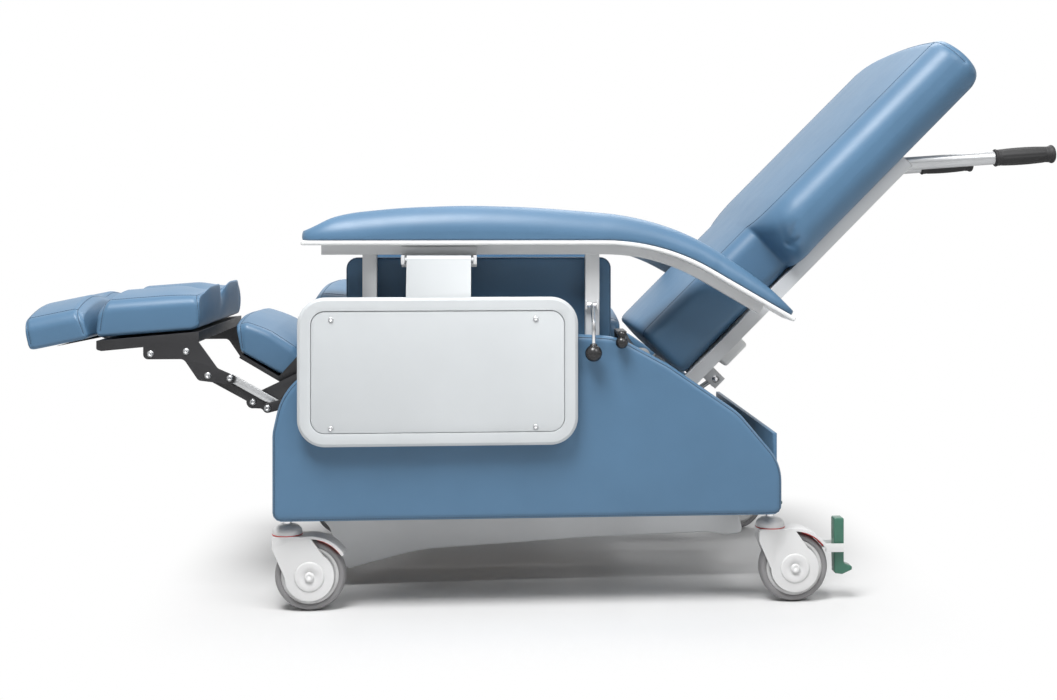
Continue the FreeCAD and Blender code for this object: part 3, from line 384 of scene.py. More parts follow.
def mottled(name, rgb, rough, mottle, spread, metal=0.0, coat=0.0):
    """A new material with mottled colour and uneven gloss from two noises on Object coordinates."""
    made = bpy.data.materials.new(name)
    made.use_nodes = True
    tree = made.node_tree
    shader = tree.nodes["Principled BSDF"]
    shader.inputs["Metallic"].default_value = metal
    shader.inputs["Coat Weight"].default_value = coat
    shader.inputs["Coat Roughness"].default_value = 0.25
    place = tree.nodes.new("ShaderNodeTexCoord")
    tone = tree.nodes.new("ShaderNodeValToRGB")
    for stop, position, way in zip(tone.color_ramp.elements, (0.3, 0.7), (-1, 1)):
        stop.color = [min(1.0, c * (1 + way * mottle)) for c in rgb] + [1]
        stop.position = position
    link(tree, noise(tree, place, Scale=7.0, Detail=3.0, Roughness=0.55), "Fac", tone, "Fac")
    link(tree, tone, "Color", shader, "Base Color")
    gloss = add_node(tree, "ShaderNodeMapRange", To_Min=rough - spread, To_Max=rough + spread)
    link(tree, noise(tree, place, Scale=23.0, Detail=5.0, Roughness=0.6), "Fac", gloss, "Value")
    link(tree, gloss, "Result", shader, "Roughness")
    return made, tree, shader, place


def grained_finish(name, rgb, rough, grain, bump, mottle, spread, metal, coat):
    """Paint, plate, plastic or rubber: a mottled material with a fine grain from noise."""
    made, tree, shader, place = mottled(name, rgb, rough, mottle, spread, metal, coat)
    fine = noise(tree, place, Scale=grain, Detail=4.0, Roughness=0.6)
    link(tree, relief(tree, fine, "Fac", bump, GRAIN_HEIGHT), "Normal", shader, "Normal")
    return made


def vinyl_finish():
    """Upholstery vinyl: pebble grain from cells over slow creases from noise, worn gloss in patches."""
    made, tree, shader, place = mottled(VINYL_NAME, colours().vinyl, rough=0.40, mottle=0.05, spread=0.06)
    shader.inputs["Specular IOR Level"].default_value = 0.42
    pebble = add_node(tree, "ShaderNodeTexVoronoi", Scale=640.0)
    pebble.feature = "SMOOTH_F1"
    link(tree, place, "Object", pebble, "Vector")
    crease = noise(tree, place, Scale=18.0, Detail=2.0, Roughness=0.5, Distortion=0.6)
    soft = relief(tree, crease, "Fac", strength=0.06, distance=0.004)
    pebbled = relief(tree, pebble, "Distance", strength=0.16, distance=0.0004, under=soft)
    link(tree, pebbled, "Normal", shader, "Normal")
    return made


# Mesh tools: whole arrays in, one object out
def place_piece(name, shape, body, key, smooth=True, replaces=None):
    """Put a shape (points, faces) into the scene with outward faces and a finish, riding on a body."""
    points, faces = shape
    mesh = bpy.data.meshes.new(name)
    mesh.from_pydata(points.tolist(), [], faces)
    mesh.update()
    shell = bmesh.new()
    shell.from_mesh(mesh)
    bmesh.ops.recalc_face_normals(shell, faces=shell.faces)
    shell.to_mesh(mesh)
    shell.free()
    mesh.polygons.foreach_set("use_smooth", [smooth] * len(mesh.polygons))
    mesh.materials.append(look(key))
    piece = bpy.data.objects.new(name, mesh)
    bpy.context.scene.collection.objects.link(piece)
    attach(piece, body)
    if replaces:
        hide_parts(replaces)
    return piece


def slot_of(node):
    """The record's material slot of a node."""
    return next(p["material_slot"] for p in frame["record"]["subparts"] if p["node"] == node)


def dress_node(node, key, bevel=None, steps=2):
    """A CAD node's shape with its edges rounded: doubles merged, flat faces joined, sharp edges bevelled."""
    shell = bmesh.new()
    shell.from_mesh(frame["nodes"][node].data)
    bmesh.ops.remove_doubles(shell, verts=shell.verts, dist=1e-5)
    bmesh.ops.dissolve_limit(shell, angle_limit=math.radians(0.6), verts=shell.verts, edges=shell.edges)
    mesh = bpy.data.meshes.new(node + "_shell")
    shell.to_mesh(mesh)
    shell.free()
    mesh.materials.clear()
    mesh.materials.append(look(key))
    mesh.polygons.foreach_set("use_smooth", [True] * len(mesh.polygons))
    piece = bpy.data.objects.new(node + "_finish", mesh)
    bpy.context.scene.collection.objects.link(piece)
    round_off = piece.modifiers.new("edge_round", "BEVEL")
    round_off.width = bevel or sizes().bevel
    round_off.segments = steps
    round_off.limit_method = "ANGLE"
    round_off.angle_limit = math.radians(32)
    round_off.harden_normals = True
    round_off.use_clamp_overlap = True
    body = next(b for b, members in frame["record"]["behaviour"]["bodies"].items() if node in members)
    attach(piece, body)
    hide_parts(node)
    return piece


def mesh_points(mesh):
    """A mesh's points as an array."""
    place = np.zeros(len(mesh.vertices) * 3)
    mesh.vertices.foreach_get("co", place)
    return place.reshape(-1, 3)


def move_points(mesh, points):
    """Give a mesh's points new places."""
    mesh.vertices.foreach_set("co", points.ravel())
    mesh.update()


def ring_faces(rows, cols):
    """Quads of a grid of rows, each row a closed ring of cols points."""
    r, c = np.meshgrid(np.arange(rows - 1), np.arange(cols), indexing="ij")
    after = (c + 1) % cols
    quads = np.stack([r * cols + c, r * cols + after, (r + 1) * cols + after, (r + 1) * cols + c], -1)
    return quads.reshape(-1, 4).tolist()


def closed_rings(rings):
    """Points and faces of a row of closed rings, with a middle point closing each end."""
    rows, cols, _ = rings.shape
    points = np.concatenate([rings.reshape(-1, 3), rings[:1].mean(1), rings[-1:].mean(1)])
    turn = np.arange(cols)
    after = (turn + 1) % cols
    low, last = rows * cols, (rows - 1) * cols
    faces = ring_faces(rows, cols)
    faces += np.stack([after, turn, np.full(cols, low)], -1).tolist()
    faces += np.stack([last + turn, last + after, np.full(cols, low + 1)], -1).tolist()
    return points, faces


def looped_rings(rings):
    """Points and faces of a row of closed rings whose last joins the first, as round a tyre's section."""
    rows, cols, _ = rings.shape
    return np.concatenate([rings, rings[:1]]).reshape(-1, 3), ring_faces(rows + 1, cols)


def lathe(profile, centre, axis="y", count=48):
    """A profile of (distance along the axis, radius) pairs turned about the y or z axis through a centre."""
    profile = np.asarray(profile, float)
    turn = np.linspace(0, 2 * np.pi, count, endpoint=False)
    along = np.repeat(profile[:, :1], count, 1)
    across = profile[:, 1:] * np.cos(turn)
    up = profile[:, 1:] * np.sin(turn)
    order = (across, along, up) if axis == "y" else (across, up, along)
    return np.stack(order, -1) + np.asarray(centre, float)


def tube(path, radius, count):
    """Rings of a round section carried along a path: normals stand square to the path's own run."""
    run = np.gradient(path, axis=0)
    run /= np.linalg.norm(run, axis=1, keepdims=True) + 1e-12
    guide = np.eye(3)[np.argmin(np.abs(run).mean(0))]
    first = np.cross(run, guide)
    first /= np.linalg.norm(first, axis=1, keepdims=True) + 1e-12
    second = np.cross(run, first)
    turn = np.linspace(0, 2 * np.pi, count, endpoint=False)[:, None]
    round_section = np.cos(turn) * first[:, None] + np.sin(turn) * second[:, None]
    return path[:, None] + np.asarray(radius, float)[:, None, None] * round_section


def merged(shapes):
    """Several shapes (points, faces) as one."""
    points, faces, start = [], [], 0
    for some, quads in shapes:
        points.append(some)
        faces += [[i + start for i in f] for f in quads]
        start += len(some)
    return np.concatenate(points), faces


def heads(profile, radius, seats):
    """Like heads turned from one profile at seats (x, y, z, side), each standing out to its own side."""
    return merged([closed_rings(lathe([(side * a, r * radius) for a, r in profile], (x, y, z), count=20))
                   for x, y, z, side in seats])


# Upholstery: sections carried along a line, swollen by cloth simulation, then seamed

# Points round a section by stretch, and the columns where its sides and upper seams begin
RUNS = {"under": 36, "low": 8, "side": 12, "edge": 8, "top": 36}
NEAR_SIDE = RUNS["under"] + RUNS["low"]
FIRST_SEAM = NEAR_SIDE + RUNS["side"] + RUNS["edge"]
LAST_SEAM = FIRST_SEAM + RUNS["top"]
FAR_SIDE = LAST_SEAM + RUNS["edge"] + RUNS["side"]
ROUND = FAR_SIDE + RUNS["low"]
FACING = (FIRST_SEAM + RUNS["under"] - np.arange(ROUND)) % ROUND

# Rows that close an end and where their fold stops, frames of swelling, a seam's share of depth beside it,
# how far a stitch thins at its ends, its steps and the thread's sides
CAP_ROWS = 7
FOLD_END = 0.03
SWELL_FRAMES = 20
SEAM_SHOULDER = 0.35
STITCH_DIP = 0.4
STITCH_STEPS = 4
THREAD_SIDES = 6

# How much of an end's inset lifts a pad's underside and lowers its top
END_LIFT = 0.4
END_DROP = 0.9

# A section's most lower round and least straight wall by its height, where its sides begin to bulge by its
# half width, and the powers by which its crown falls across and grows upwards
LOW_MOST = 0.44
WALL_LEAST = 0.04
BULGE_FROM = 0.75
CROWN_ACROSS = 2.4
CROWN_UP = 1.5

# Rows over a board's round edge and across its face, the row that is sewn, points on an outline's arc
PANEL_EDGE_ROWS = 8
PANEL_FACE_ROWS = 20
PANEL_SEAM_ROW = 4
ARC_POINTS = 16


def smooth_step(x, low, high):
    """0 below low, 1 above high and an even S between."""
    t = np.clip((x - low) / (high - low), 0, 1)
    return t * t * (3 - 2 * t)


def bell(x, width):
    """A bell curve: 1 at 0, falling with the square of the distance in widths."""
    return np.exp(-(x / width) ** 2)


def spread(length, count, tight=0.35):
    """Distances along a pad, closer together near both ends."""
    t = np.linspace(0, 1, count)
    return length * (t - tight * np.sin(2 * np.pi * t) / (2 * np.pi))


def nearest(stations, place):
    """The number of the station nearest to a place."""
    return int(np.argmin(np.abs(stations - place)))


def quarter_round(s, reach):
    """How far a quarter circle of a radius draws in at a distance from its end, nothing beyond the radius."""
    near = np.clip(reach - s, 0, reach)
    return reach - np.sqrt(np.maximum(reach ** 2 - near ** 2, 0))


def end_inset(s, length, front, rear):
    """How far a section draws in near the ends: quarter circles of the two end radii."""
    return quarter_round(s, front) + quarter_round(length - s, rear)


def column(value):
    """A value, or one value for each station, as a column."""
    return np.reshape(np.asarray(value, float), (-1, 1))


def sections(half, height, crown, low, edge, bulge=0.0, valley=0.0, valley_width=0.05):
    """Pad sections as (across, up): a box with round lower and upper corners, crowned on top, its sides
    bulging, a valley sewn down the middle. Rows follow the stations, and columns go once round: under, side,
    top, side."""
    half, height, crown, low, edge, valley = map(column, (half, height, crown, low, edge, valley))
    low = np.minimum(low, LOW_MOST * height)
    edge = np.minimum(edge, height - low - WALL_LEAST * height)
    t = {stretch: np.linspace(0, 1, count, endpoint=False)[None] for stretch, count in RUNS.items()}
    bend = {stretch: t[stretch] * np.pi / 2 for stretch in ("low", "edge")}
    foot, brow, rise = half - low, half - edge, height - edge - low
    p = [-foot + 2 * foot * t["under"], foot + low * np.sin(bend["low"]), half * np.ones_like(t["side"]),
         brow + edge * np.cos(bend["edge"]), brow - 2 * brow * t["top"], -brow - edge * np.sin(bend["edge"]),
         -half * np.ones_like(t["side"]), -foot - low * np.cos(bend["low"])]
    q = [0 * half * t["under"], low - low * np.cos(bend["low"]), low + rise * t["side"],
         height - edge + edge * np.sin(bend["edge"]), height * np.ones_like(t["top"]),
         height - edge + edge * np.cos(bend["edge"]), height - edge - rise * t["side"],
         low - low * np.sin(bend["low"])]
    p, q = np.concatenate(p, 1), np.concatenate(q, 1)
    share = np.clip(q / height, 0, 1)
    ratio = np.clip(np.abs(p) / half, 0, 1)
    p = p + np.sign(p) * bulge * 4 * share * (1 - share) * smooth_step(ratio, BULGE_FROM, 1.0)
    q = q + crown * (1 - ratio ** CROWN_ACROSS) * share ** CROWN_UP
    return p, q - valley * bell(p, valley_width) * share ** 2


def line_up(x, z, up_x, up_z):
    """Foot points and up directions in space from side-view arrays."""
    x, z, up_x, up_z = np.broadcast_arrays(x, z, up_x, up_z)
    zero = np.zeros(len(x))
    return np.stack([x, zero, z], -1), np.stack([up_x, zero, up_z], -1)


def straight_line(start, along, s, lift):
    """Foot points and up directions of stations on a straight side-view line, lifted square to it."""
    rise = np.array([-along[1], along[0]])
    foot = start + s[:, None] * along + lift[:, None] * rise
    return line_up(foot[:, 0], foot[:, 1], *rise)


def set_out(foot, up, p, q, push=0.0, middle_y=0.0):
    """Rings in space: across goes to Y, up goes along each station's own up, push goes along the run."""
    run = np.gradient(foot, axis=0)
    run /= np.linalg.norm(run, axis=1, keepdims=True)
    push = np.broadcast_to(push, p.shape)
    across = np.stack([0 * p, p + middle_y, 0 * p], -1)
    return foot[:, None] + across + q[..., None] * up[:, None] + push[..., None] * run[:, None], run


def evened(field, passes=12):
    """A field on the grid after passes of a 1-2-1 average, round the columns and along the rows."""
    for _ in range(passes):
        field = (np.roll(field, 1, 1) + 2 * field + np.roll(field, -1, 1)) / 4
        wide = np.concatenate([field[:1], field, field[-1:]])
        field = (wide[:-2] + 2 * field + wide[2:]) / 4
    return field


def pillow(rings, run, bulge):
    """Rings closed at both ends as a pillow is: each end ring folds flat onto the line midway between its
    upper and lower points, standing out by a parabola that dies away towards the sides, and the fold is sewn
    shut."""
    fold = np.linspace(1, FOLD_END, CAP_ROWS + 1)[1:]
    ends = []
    for k, way in ((0, -1), (-1, 1)):
        middle = (rings[k] + rings[k][FACING]) / 2
        across = np.abs(middle[:, 1] - middle[:, 1].mean())
        plump = 1 - (across / across.max()) ** 4
        folded = middle + (rings[k] - middle)[None] * fold[:, None, None]
        stand = way * bulge * (1 - fold[:, None] ** 2) * plump
        ends.append(folded + stand[..., None] * run[k])
    grid = np.concatenate([ends[0][::-1], rings, ends[1]])
    rows, cols = grid.shape[:2]
    turn = (FACING[0] // 2 + np.arange(cols // 2)) % cols
    after = (turn + 1) % cols
    shut = np.stack([turn, after, FACING[after], FACING[turn]], -1)
    faces = ring_faces(rows, cols)
    for first in (0, (rows - 1) * cols):
        faces += [[first + i for i in dict.fromkeys(quad)] for quad in shut.tolist()]
    return grid, faces


def stuffed(rings, run, swell, bulge=0.006, lines=(), tucks=None):
    """A stuffed cover: rings closed as a pillow, swollen by pressure with the underside held, creased where
    tucks say, and sewn along lines of rows and columns. Gives its shape and the seams' paths."""
    grid, faces = pillow(rings, run, bulge)
    rows, cols = grid.shape[:2]
    held = np.zeros((rows, cols), bool)
    held[:, :RUNS["under"] + 1] = True
    shift = swollen(grid.reshape(-1, 3), faces, held.ravel(), swell)
    grid = grid + evened(shift.reshape(rows, cols, 3))
    inner = grid[CAP_ROWS:CAP_ROWS + len(rings)]
    inward = inner.mean(1, keepdims=True) - inner
    inward /= np.linalg.norm(inward, axis=2, keepdims=True) + 1e-9
    if tucks is not None:
        inner += inward * tucks[..., None]
    paths = sew(inner, inward, lines)
    return (grid.reshape(-1, 3), faces), paths


def swollen(points, faces, held, cap):
    """How far each point moves in some frames of pressure, held under the cap by a tanh."""
    scene = bpy.context.scene
    mesh = bpy.data.meshes.new("stuffing")
    mesh.from_pydata(points.tolist(), [], faces)
    piece = bpy.data.objects.new("stuffing", mesh)
    scene.collection.objects.link(piece)
    pin = piece.vertex_groups.new(name="held")
    pin.add(np.flatnonzero(held).tolist(), 1.0, "REPLACE")
    cloth = piece.modifiers.new("stuffing", "CLOTH")
    cloth.settings.quality = 4
    cloth.settings.mass = 0.35
    cloth.settings.tension_stiffness = 25
    cloth.settings.compression_stiffness = 25
    cloth.settings.shear_stiffness = 12
    cloth.settings.bending_stiffness = 3.0
    cloth.settings.use_pressure = True
    cloth.settings.uniform_pressure_force = sizes().pressure
    cloth.settings.vertex_group_mass = "held"
    cloth.settings.effector_weights.gravity = 0
    cloth.collision_settings.use_collision = False
    cloth.collision_settings.use_self_collision = False
    cloth.point_cache.frame_start = 1
    cloth.point_cache.frame_end = SWELL_FRAMES
    for moment in range(1, SWELL_FRAMES + 1):
        scene.frame_set(moment)
    seen = piece.evaluated_get(bpy.context.evaluated_depsgraph_get())
    shift = mesh_points(seen.data) - points
    bpy.data.objects.remove(piece)
    bpy.data.meshes.remove(mesh)
    scene.frame_set(1)
    reach = np.linalg.norm(shift, axis=1, keepdims=True)
    return shift * (cap * np.tanh(reach / cap) / np.maximum(reach, 1e-9))


def sew(grid, inward, lines):
    """Draw seam lines in towards the middle of their sections, with a third of the depth beside them, and
    give back the seams' paths. A line is (rows, column) or (row, columns)."""
    pull = np.zeros(grid.shape[:2])
    for rows, cols in lines:
        for step, share in ((-1, SEAM_SHOULDER), (0, 1.0), (1, SEAM_SHOULDER)):
            part = (rows, cols + step) if isinstance(cols, int) else (rows + step, cols)
            pull[part] = np.maximum(pull[part], sizes().groove * share)
    grid += inward * pull[..., None]
    return [grid[rows, cols].copy() for rows, cols in lines]


def boxed_seams(rows, front=None, rear=None):
    """Seam lines of a boxed pad: both upper edges between the ends, and a loop over each end given."""
    length = slice(front or 0, (rear or rows - 1) + 1)
    loops = [(row, slice(NEAR_SIDE, FAR_SIDE)) for row in (front, rear) if row]
    return [(length, FIRST_SEAM), (length, LAST_SEAM)] + loops


def place_cover(name, shape, paths, body, node):
    """Put a stuffed cover and its seams into the scene in place of its CAD solid."""
    piece = place_piece(name, shape, body, "vinyl", replaces=node)
    if paths:
        thread(name + "_seam", paths, body)


def evenly(path, step):
    """A path resampled at even distances, and the distances."""
    travel = np.append(0, np.cumsum(np.linalg.norm(np.diff(path, axis=0), axis=1)))
    even = np.arange(0, travel[-1], step)
    return np.stack([np.interp(even, travel, path[:, k]) for k in range(path.shape[1])], -1), even


def thread(name, paths, body):
    """Sewn lines: a thin thread along each path whose radius dips once a stitch."""
    radius, length = sizes().seam, sizes().stitch
    threads = []
    for path in paths:
        line, even = evenly(path, length / STITCH_STEPS)
        plump = 1 - STITCH_DIP + STITCH_DIP * np.abs(np.sin(np.pi * even / length))
        threads.append(closed_rings(tube(line, radius * plump, THREAD_SIDES)))
    place_piece(name, merged(threads), body, "seam")


def panel_cover(name, outline, faces_y, edge, crown, body, node):
    """An upholstered board: an outline in the side plane drawn in by its own normals over a round edge, then
    shrunk to its middle with a slight crown, the same on both faces, and sewn round where the edge turns."""
    run = np.roll(outline, -1, 0) - np.roll(outline, 1, 0)
    normal = np.stack([-run[:, 1], run[:, 0]], -1)
    normal /= np.linalg.norm(normal, axis=1, keepdims=True)
    centre = outline.mean(0)
    normal *= np.sign(((centre - outline) * normal).sum(1).mean())
    inner, outer = faces_y
    half, middle = abs(outer - inner) / 2, (outer + inner) / 2
    rim = min(edge, half)
    turn = np.linspace(0, np.pi / 2, PANEL_EDGE_ROWS)
    rounded = outline + normal * rim * (1 - np.cos(turn))[:, None, None]
    share = np.linspace(1, PANEL_CORE, PANEL_FACE_ROWS)[1:]
    flat = centre + (rounded[-1] - centre) * share[:, None, None]
    side_view = np.concatenate([rounded, flat])
    stand = np.concatenate([half - rim + rim * np.sin(turn), half + crown * (1 - share ** 2)])

    def face(way):
        """The rows of the face on one side of the board's middle."""
        across = np.broadcast_to(column(middle + way * stand), side_view.shape[:2])
        return np.stack([side_view[..., 0], across, side_view[..., 1]], -1)

    shape = closed_rings(np.concatenate([face(-1)[::-1], face(1)]))
    seam = face(np.sign(outer - inner))[PANEL_SEAM_ROW]
    place_cover(name, shape, [np.concatenate([seam, seam[:1]])], body, node)


def round_outline(corners, step=0.008):
    """A closed outline through corners (x, z, radius), rounded by arcs, as evenly spaced points."""
    corners = np.asarray(corners, float)
    here, radius = corners[:, :2], corners[:, 2]
    before, after = np.roll(here, 1, 0) - here, np.roll(here, -1, 0) - here
    before /= np.linalg.norm(before, axis=1, keepdims=True)
    after /= np.linalg.norm(after, axis=1, keepdims=True)
    half = np.arccos(np.clip((before * after).sum(1), -1, 1)) / 2
    reach = (radius / np.tan(half))[:, None]
    inward = before + after
    inward /= np.linalg.norm(inward, axis=1, keepdims=True)
    centre = here + inward * (radius / np.sin(half))[:, None]
    first, last = here + before * reach - centre, here + after * reach - centre
    start = np.arctan2(first[:, 1], first[:, 0])
    sweep = np.arctan2(last[:, 1], last[:, 0]) - start
    sweep = (sweep + np.pi) % (2 * np.pi) - np.pi
    angle = start[:, None] + sweep[:, None] * np.linspace(0, 1, ARC_POINTS)
    arcs = centre[:, None] + radius[:, None, None] * np.stack([np.cos(angle), np.sin(angle)], -1)
    path = arcs.reshape(-1, 2)
    return evenly(np.concatenate([path, path[:1]]), step)[0]


class RECLINER_OT_seat(Operator):
    """Seat cushion: a crowned box with a rounded front, swollen and sewn"""
    bl_idname = "recliner.seat"
    bl_label = "Seat cushion"

    def execute(self, context):
        low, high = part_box("seat_cushion")
        length = (high.x - low.x) / math.cos(SEAT_SLOPE) + SEAT_EXTRA_LENGTH
        s = spread(length, SEAT_ROWS)
        inset = end_inset(s, length, front=0.026, rear=0.016)
        along = np.array([math.cos(SEAT_SLOPE), -math.sin(SEAT_SLOPE)])
        foot, up = straight_line(SEAT_FOOT - SEAT_OVERHANG * along, along, s, END_LIFT * inset)
        p, q = sections(SEAT_HALF - SEAT_NARROW * inset, SEAT_HEIGHT - END_DROP * inset,
                        crown=0.018, low=0.014, edge=0.018, bulge=0.002)
        lines = boxed_seams(len(s), front=nearest(s, SEAT_SEAM))
        shape, paths = stuffed(*set_out(foot, up, p, q), swell=sizes().swell, lines=lines)
        place_cover("seat_cover", shape, paths, "base", "seat_cushion")
        return {"FINISHED"}


class RECLINER_OT_back(Operator):
    """Back cushion: a long pad that widens into head wings, with bulging sides, tucks and sewn edges"""
    bl_idname = "recliner.back"
    bl_label = "Back cushion"

    def execute(self, context):
        u = self.stations(BACK_ROWS)
        inset = end_inset(u - BACK_FIRST, BACK_LAST - BACK_FIRST, front=0.016, rear=0.030)
        lean = np.array([math.cos(BACK_LEAN), math.sin(BACK_LEAN)])
        foot, up = straight_line(BACK_HINGE, lean, u, BACK_UNDER + BACK_LIFT * inset)
        height = BACK_HEIGHT - BACK_DROP * inset
        wide = smooth_step(u, WING_START, WING_START + WING_RUN)
        half = BACK_HALF + WING_REACH * wide
        p, q = sections(half, height, crown=0.013 + 0.003 * wide, low=0.022 + 0.024 * wide,
                        edge=0.026 + 0.016 * wide, bulge=0.004)
        share = np.clip(q / column(height), 0, 1)
        p = p * (BACK_HALF + WING_REACH * self.wing(u, share) - BACK_NARROW * column(inset)) / column(half)
        lines = boxed_seams(len(u), rear=nearest(u, BACK_LAST - BACK_SEAM))
        shape, paths = stuffed(*set_out(foot, up, p, q), swell=0.008, bulge=0.008, lines=lines,
                               tucks=self.wing_tucks(u, share))
        place_cover("back_cover", shape, paths, "backrest", "back_cushion")
        return {"FINISHED"}

    def stations(self, count):
        """Distances along the lean, crowded by bell curves at the wings' start and at both ends."""
        fine = np.linspace(BACK_FIRST, BACK_LAST, 4000)
        dense = 1 + sum(gain * bell(fine - place, width) for place, width, gain in BACK_CROWDS)
        return np.interp(np.linspace(0, 1, count), np.cumsum(dense) / dense.sum(), fine)

    def wing(self, u, share):
        """How far the wings have opened, 0 to 1: a quick round start, slower for higher points."""
        run = np.interp(share, (0, 1), WING_OPENING)
        opening = np.clip((column(u) - WING_START + WING_LEAD) / run, 0, 1)
        start, finish = WING_POWERS
        return (1 - (1 - opening) ** start) ** finish

    def wing_tucks(self, u, share):
        """Creases that fan out from the wing's lower corner over its side, each by an angle in degrees, a
        reach and a depth: narrow bell-shaped furrows that fade with the distance from the corner."""
        place = np.arange(share.shape[1])
        on_near = (place >= NEAR_SIDE) & (place < FIRST_SEAM)
        on_far = (place >= LAST_SEAM) & (place < FAR_SIDE)
        x = column(u - WING_START - TUCK_CORNER[0])
        y = (share - TUCK_CORNER[1]) * SIDE_HEIGHT
        depth = np.zeros_like(share)
        for angle, reach, deep in WING_TUCKS:
            c, d = math.cos(math.radians(angle)), math.sin(math.radians(angle))
            along, off = x * c + y * d, -x * d + y * c
            depth += deep * bell(off, TUCK_WIDTH) * smooth_step(along, *TUCK_FADE_IN) * bell(along, reach)
        return depth * (on_near | on_far)


class RECLINER_OT_leg_pads(Operator):
    """Calf, foot and middle leg pads"""
    bl_idname = "recliner.leg_pads"
    bl_label = "Leg pads"

    def execute(self, context):
        for name, values in LEG_PADS.items():
            rings, run, lines = self.boxed_pad(**values)
            shape, paths = stuffed(rings, run, swell=0.005, bulge=LEG_PAD_BULGES[name], lines=lines)
            place_cover(name + "_cover", shape, paths, "legrest", name + "_pad")
        self.middle_pad()
        return {"FINISHED"}

    def boxed_pad(self, first, last, height, crown, ends, valley, lobe, slants):
        """A boxed pad on the line between two side-view points: ends slanted in proportion to the height, a
        valley down the middle, and at the rear end two lobes that stand out at mid height, parted by a
        bell-shaped groove."""
        first, last = np.array(first), np.array(last)
        length = np.linalg.norm(last - first)
        s = spread(length, LEG_ROWS)
        inset = end_inset(s, length, *ends)
        foot, up = straight_line(first, (last - first) / length, s, END_LIFT * inset)
        front, rear = 1 - smooth_step(s, 0, LEG_END_REACH), smooth_step(s, length - LEG_END_REACH, length)
        level = 1 - LOBE_LEVELLING * rear if lobe else np.ones_like(s)
        p, q = sections(LEG_HALF - LEG_NARROW * inset, height - END_DROP * inset, crown=crown * level,
                        low=0.007, edge=0.019, bulge=0.001, valley=valley * level, valley_width=0.048)
        push = q * column(slants[0] * front + slants[1] * rear)
        share = np.clip(q / (height + (1 - LOBE_LEVELLING) * crown), 0, 1)
        full = 1 - np.abs(2 * share - 1) ** 3
        sides = 1 - LOBE_SIDE_FALL * smooth_step(np.abs(p) / LEG_HALF, LOBE_FULL_TO, 1.0)
        push = push + lobe * column(rear) * full * (1 - bell(p, LOBE_GROOVE)) * sides
        lines = boxed_seams(len(s), nearest(s, LEG_SEAM), nearest(s, length - LEG_SEAM))
        return *set_out(foot, up, p, q, push), lines

    def middle_pad(self):
        """The small pad over the knee links: stations from front to rear, joined by straight runs."""
        travel = np.append(0, np.cumsum(np.hypot(*np.diff(MIDDLE_STATIONS[:, :2], axis=0).T)))
        s = spread(travel[-1], MIDDLE_ROWS, tight=0.2)
        x, z, up_x, up_z, half, height = (np.interp(s, travel, values) for values in MIDDLE_STATIONS.T)
        size = np.hypot(up_x, up_z)
        foot, up = line_up(x, z, up_x / size, up_z / size)
        p, q = sections(half, height, crown=0.015, low=0.006, edge=0.012, bulge=0.001)
        lines = boxed_seams(len(s), MIDDLE_SEAM_ROW, len(s) - 1 - MIDDLE_SEAM_ROW)
        shape, paths = stuffed(*set_out(foot, up, p, q), swell=0.004, bulge=0.003, lines=lines)
        place_cover("middle_cover", shape, paths, "mid_leg", "mid_pad")


class RECLINER_OT_arm_pads(Operator):
    """Arm pads: domed covers along the arm's curve, gathered near the rear"""
    bl_idname = "recliner.arm_pads"
    bl_label = "Arm pads"

    def execute(self, context):
        low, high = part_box("left_arm_trim")
        bend_end = ARM_BEND_X + ARM_BEND_RADIUS * math.sin(ARM_BEND_ANGLE)
        tail = (high.x - bend_end) / math.cos(ARM_BEND_ANGLE)
        length = ARM_BEND_X - low.x + ARM_BEND_RADIUS * ARM_BEND_ANGLE + tail - ARM_REAR_GAP
        s = spread(length, ARM_ROWS, tight=0.2)
        foot, up = line_up(*self.arm_line(s, low.x))
        place, tall = ARM_HEIGHTS.T
        height = np.interp(s, place / place[-1] * length, tall)
        wide = np.pad(height, ARM_SMOOTHING // 2, mode="edge")
        height = np.convolve(wide, np.ones(ARM_SMOOTHING) / ARM_SMOOTHING, mode="valid")
        half = ARM_HALF - ARM_NARROW * end_inset(s, length, front=0.060, rear=0.050)
        p, q = sections(half, ARM_WALL * height, crown=ARM_CROWN * height, low=0.003,
                        edge=np.minimum(ARM_EDGE_MOST, ARM_EDGE * height))
        rings, run = set_out(foot + ARM_TRIM_GAP * up, up, p, q, middle_y=-ARM_MIDDLE_Y)
        gathers = self.gathers(s, q / column(height))
        (points, faces), _ = stuffed(rings, run, swell=0.006, bulge=0.002, tucks=gathers)
        for hand, side in SIDES:
            shape = points * np.array([1, -side, 1]), faces
            place_cover(hand + "_arm_cover", shape, [], hand + "_arm", hand + "_arm_pad")
        return {"FINISHED"}

    def arm_line(self, s, front):
        """Side-view points and up directions along the arm's curve at distances from its front end: straight,
        then an arc, then straight again."""
        level = ARM_BEND_X - front
        bend = np.clip((s - level) / ARM_BEND_RADIUS, 0, ARM_BEND_ANGLE)
        beyond = np.maximum(s - level - ARM_BEND_RADIUS * ARM_BEND_ANGLE, 0)
        x = np.minimum(front + s, ARM_BEND_X) + ARM_BEND_RADIUS * np.sin(bend)
        z = ARM_BASE_Z - ARM_BEND_RADIUS * (1 - np.cos(bend))
        x, z = x + beyond * np.cos(ARM_BEND_ANGLE), z - beyond * np.sin(ARM_BEND_ANGLE)
        return x, z, np.sin(bend), np.cos(bend)

    def gathers(self, s, share):
        """Small gathers of the cover along its lower edges on the rear bend: bell-shaped furrows across the
        edge that fade with height."""
        depth = np.zeros_like(share)
        for place, deep in ARM_GATHERS:
            depth += deep * bell(column(s) - place, GATHER_WIDTH) * bell(share, GATHER_HEIGHT)
        return depth * (np.arange(share.shape[1]) >= NEAR_SIDE)


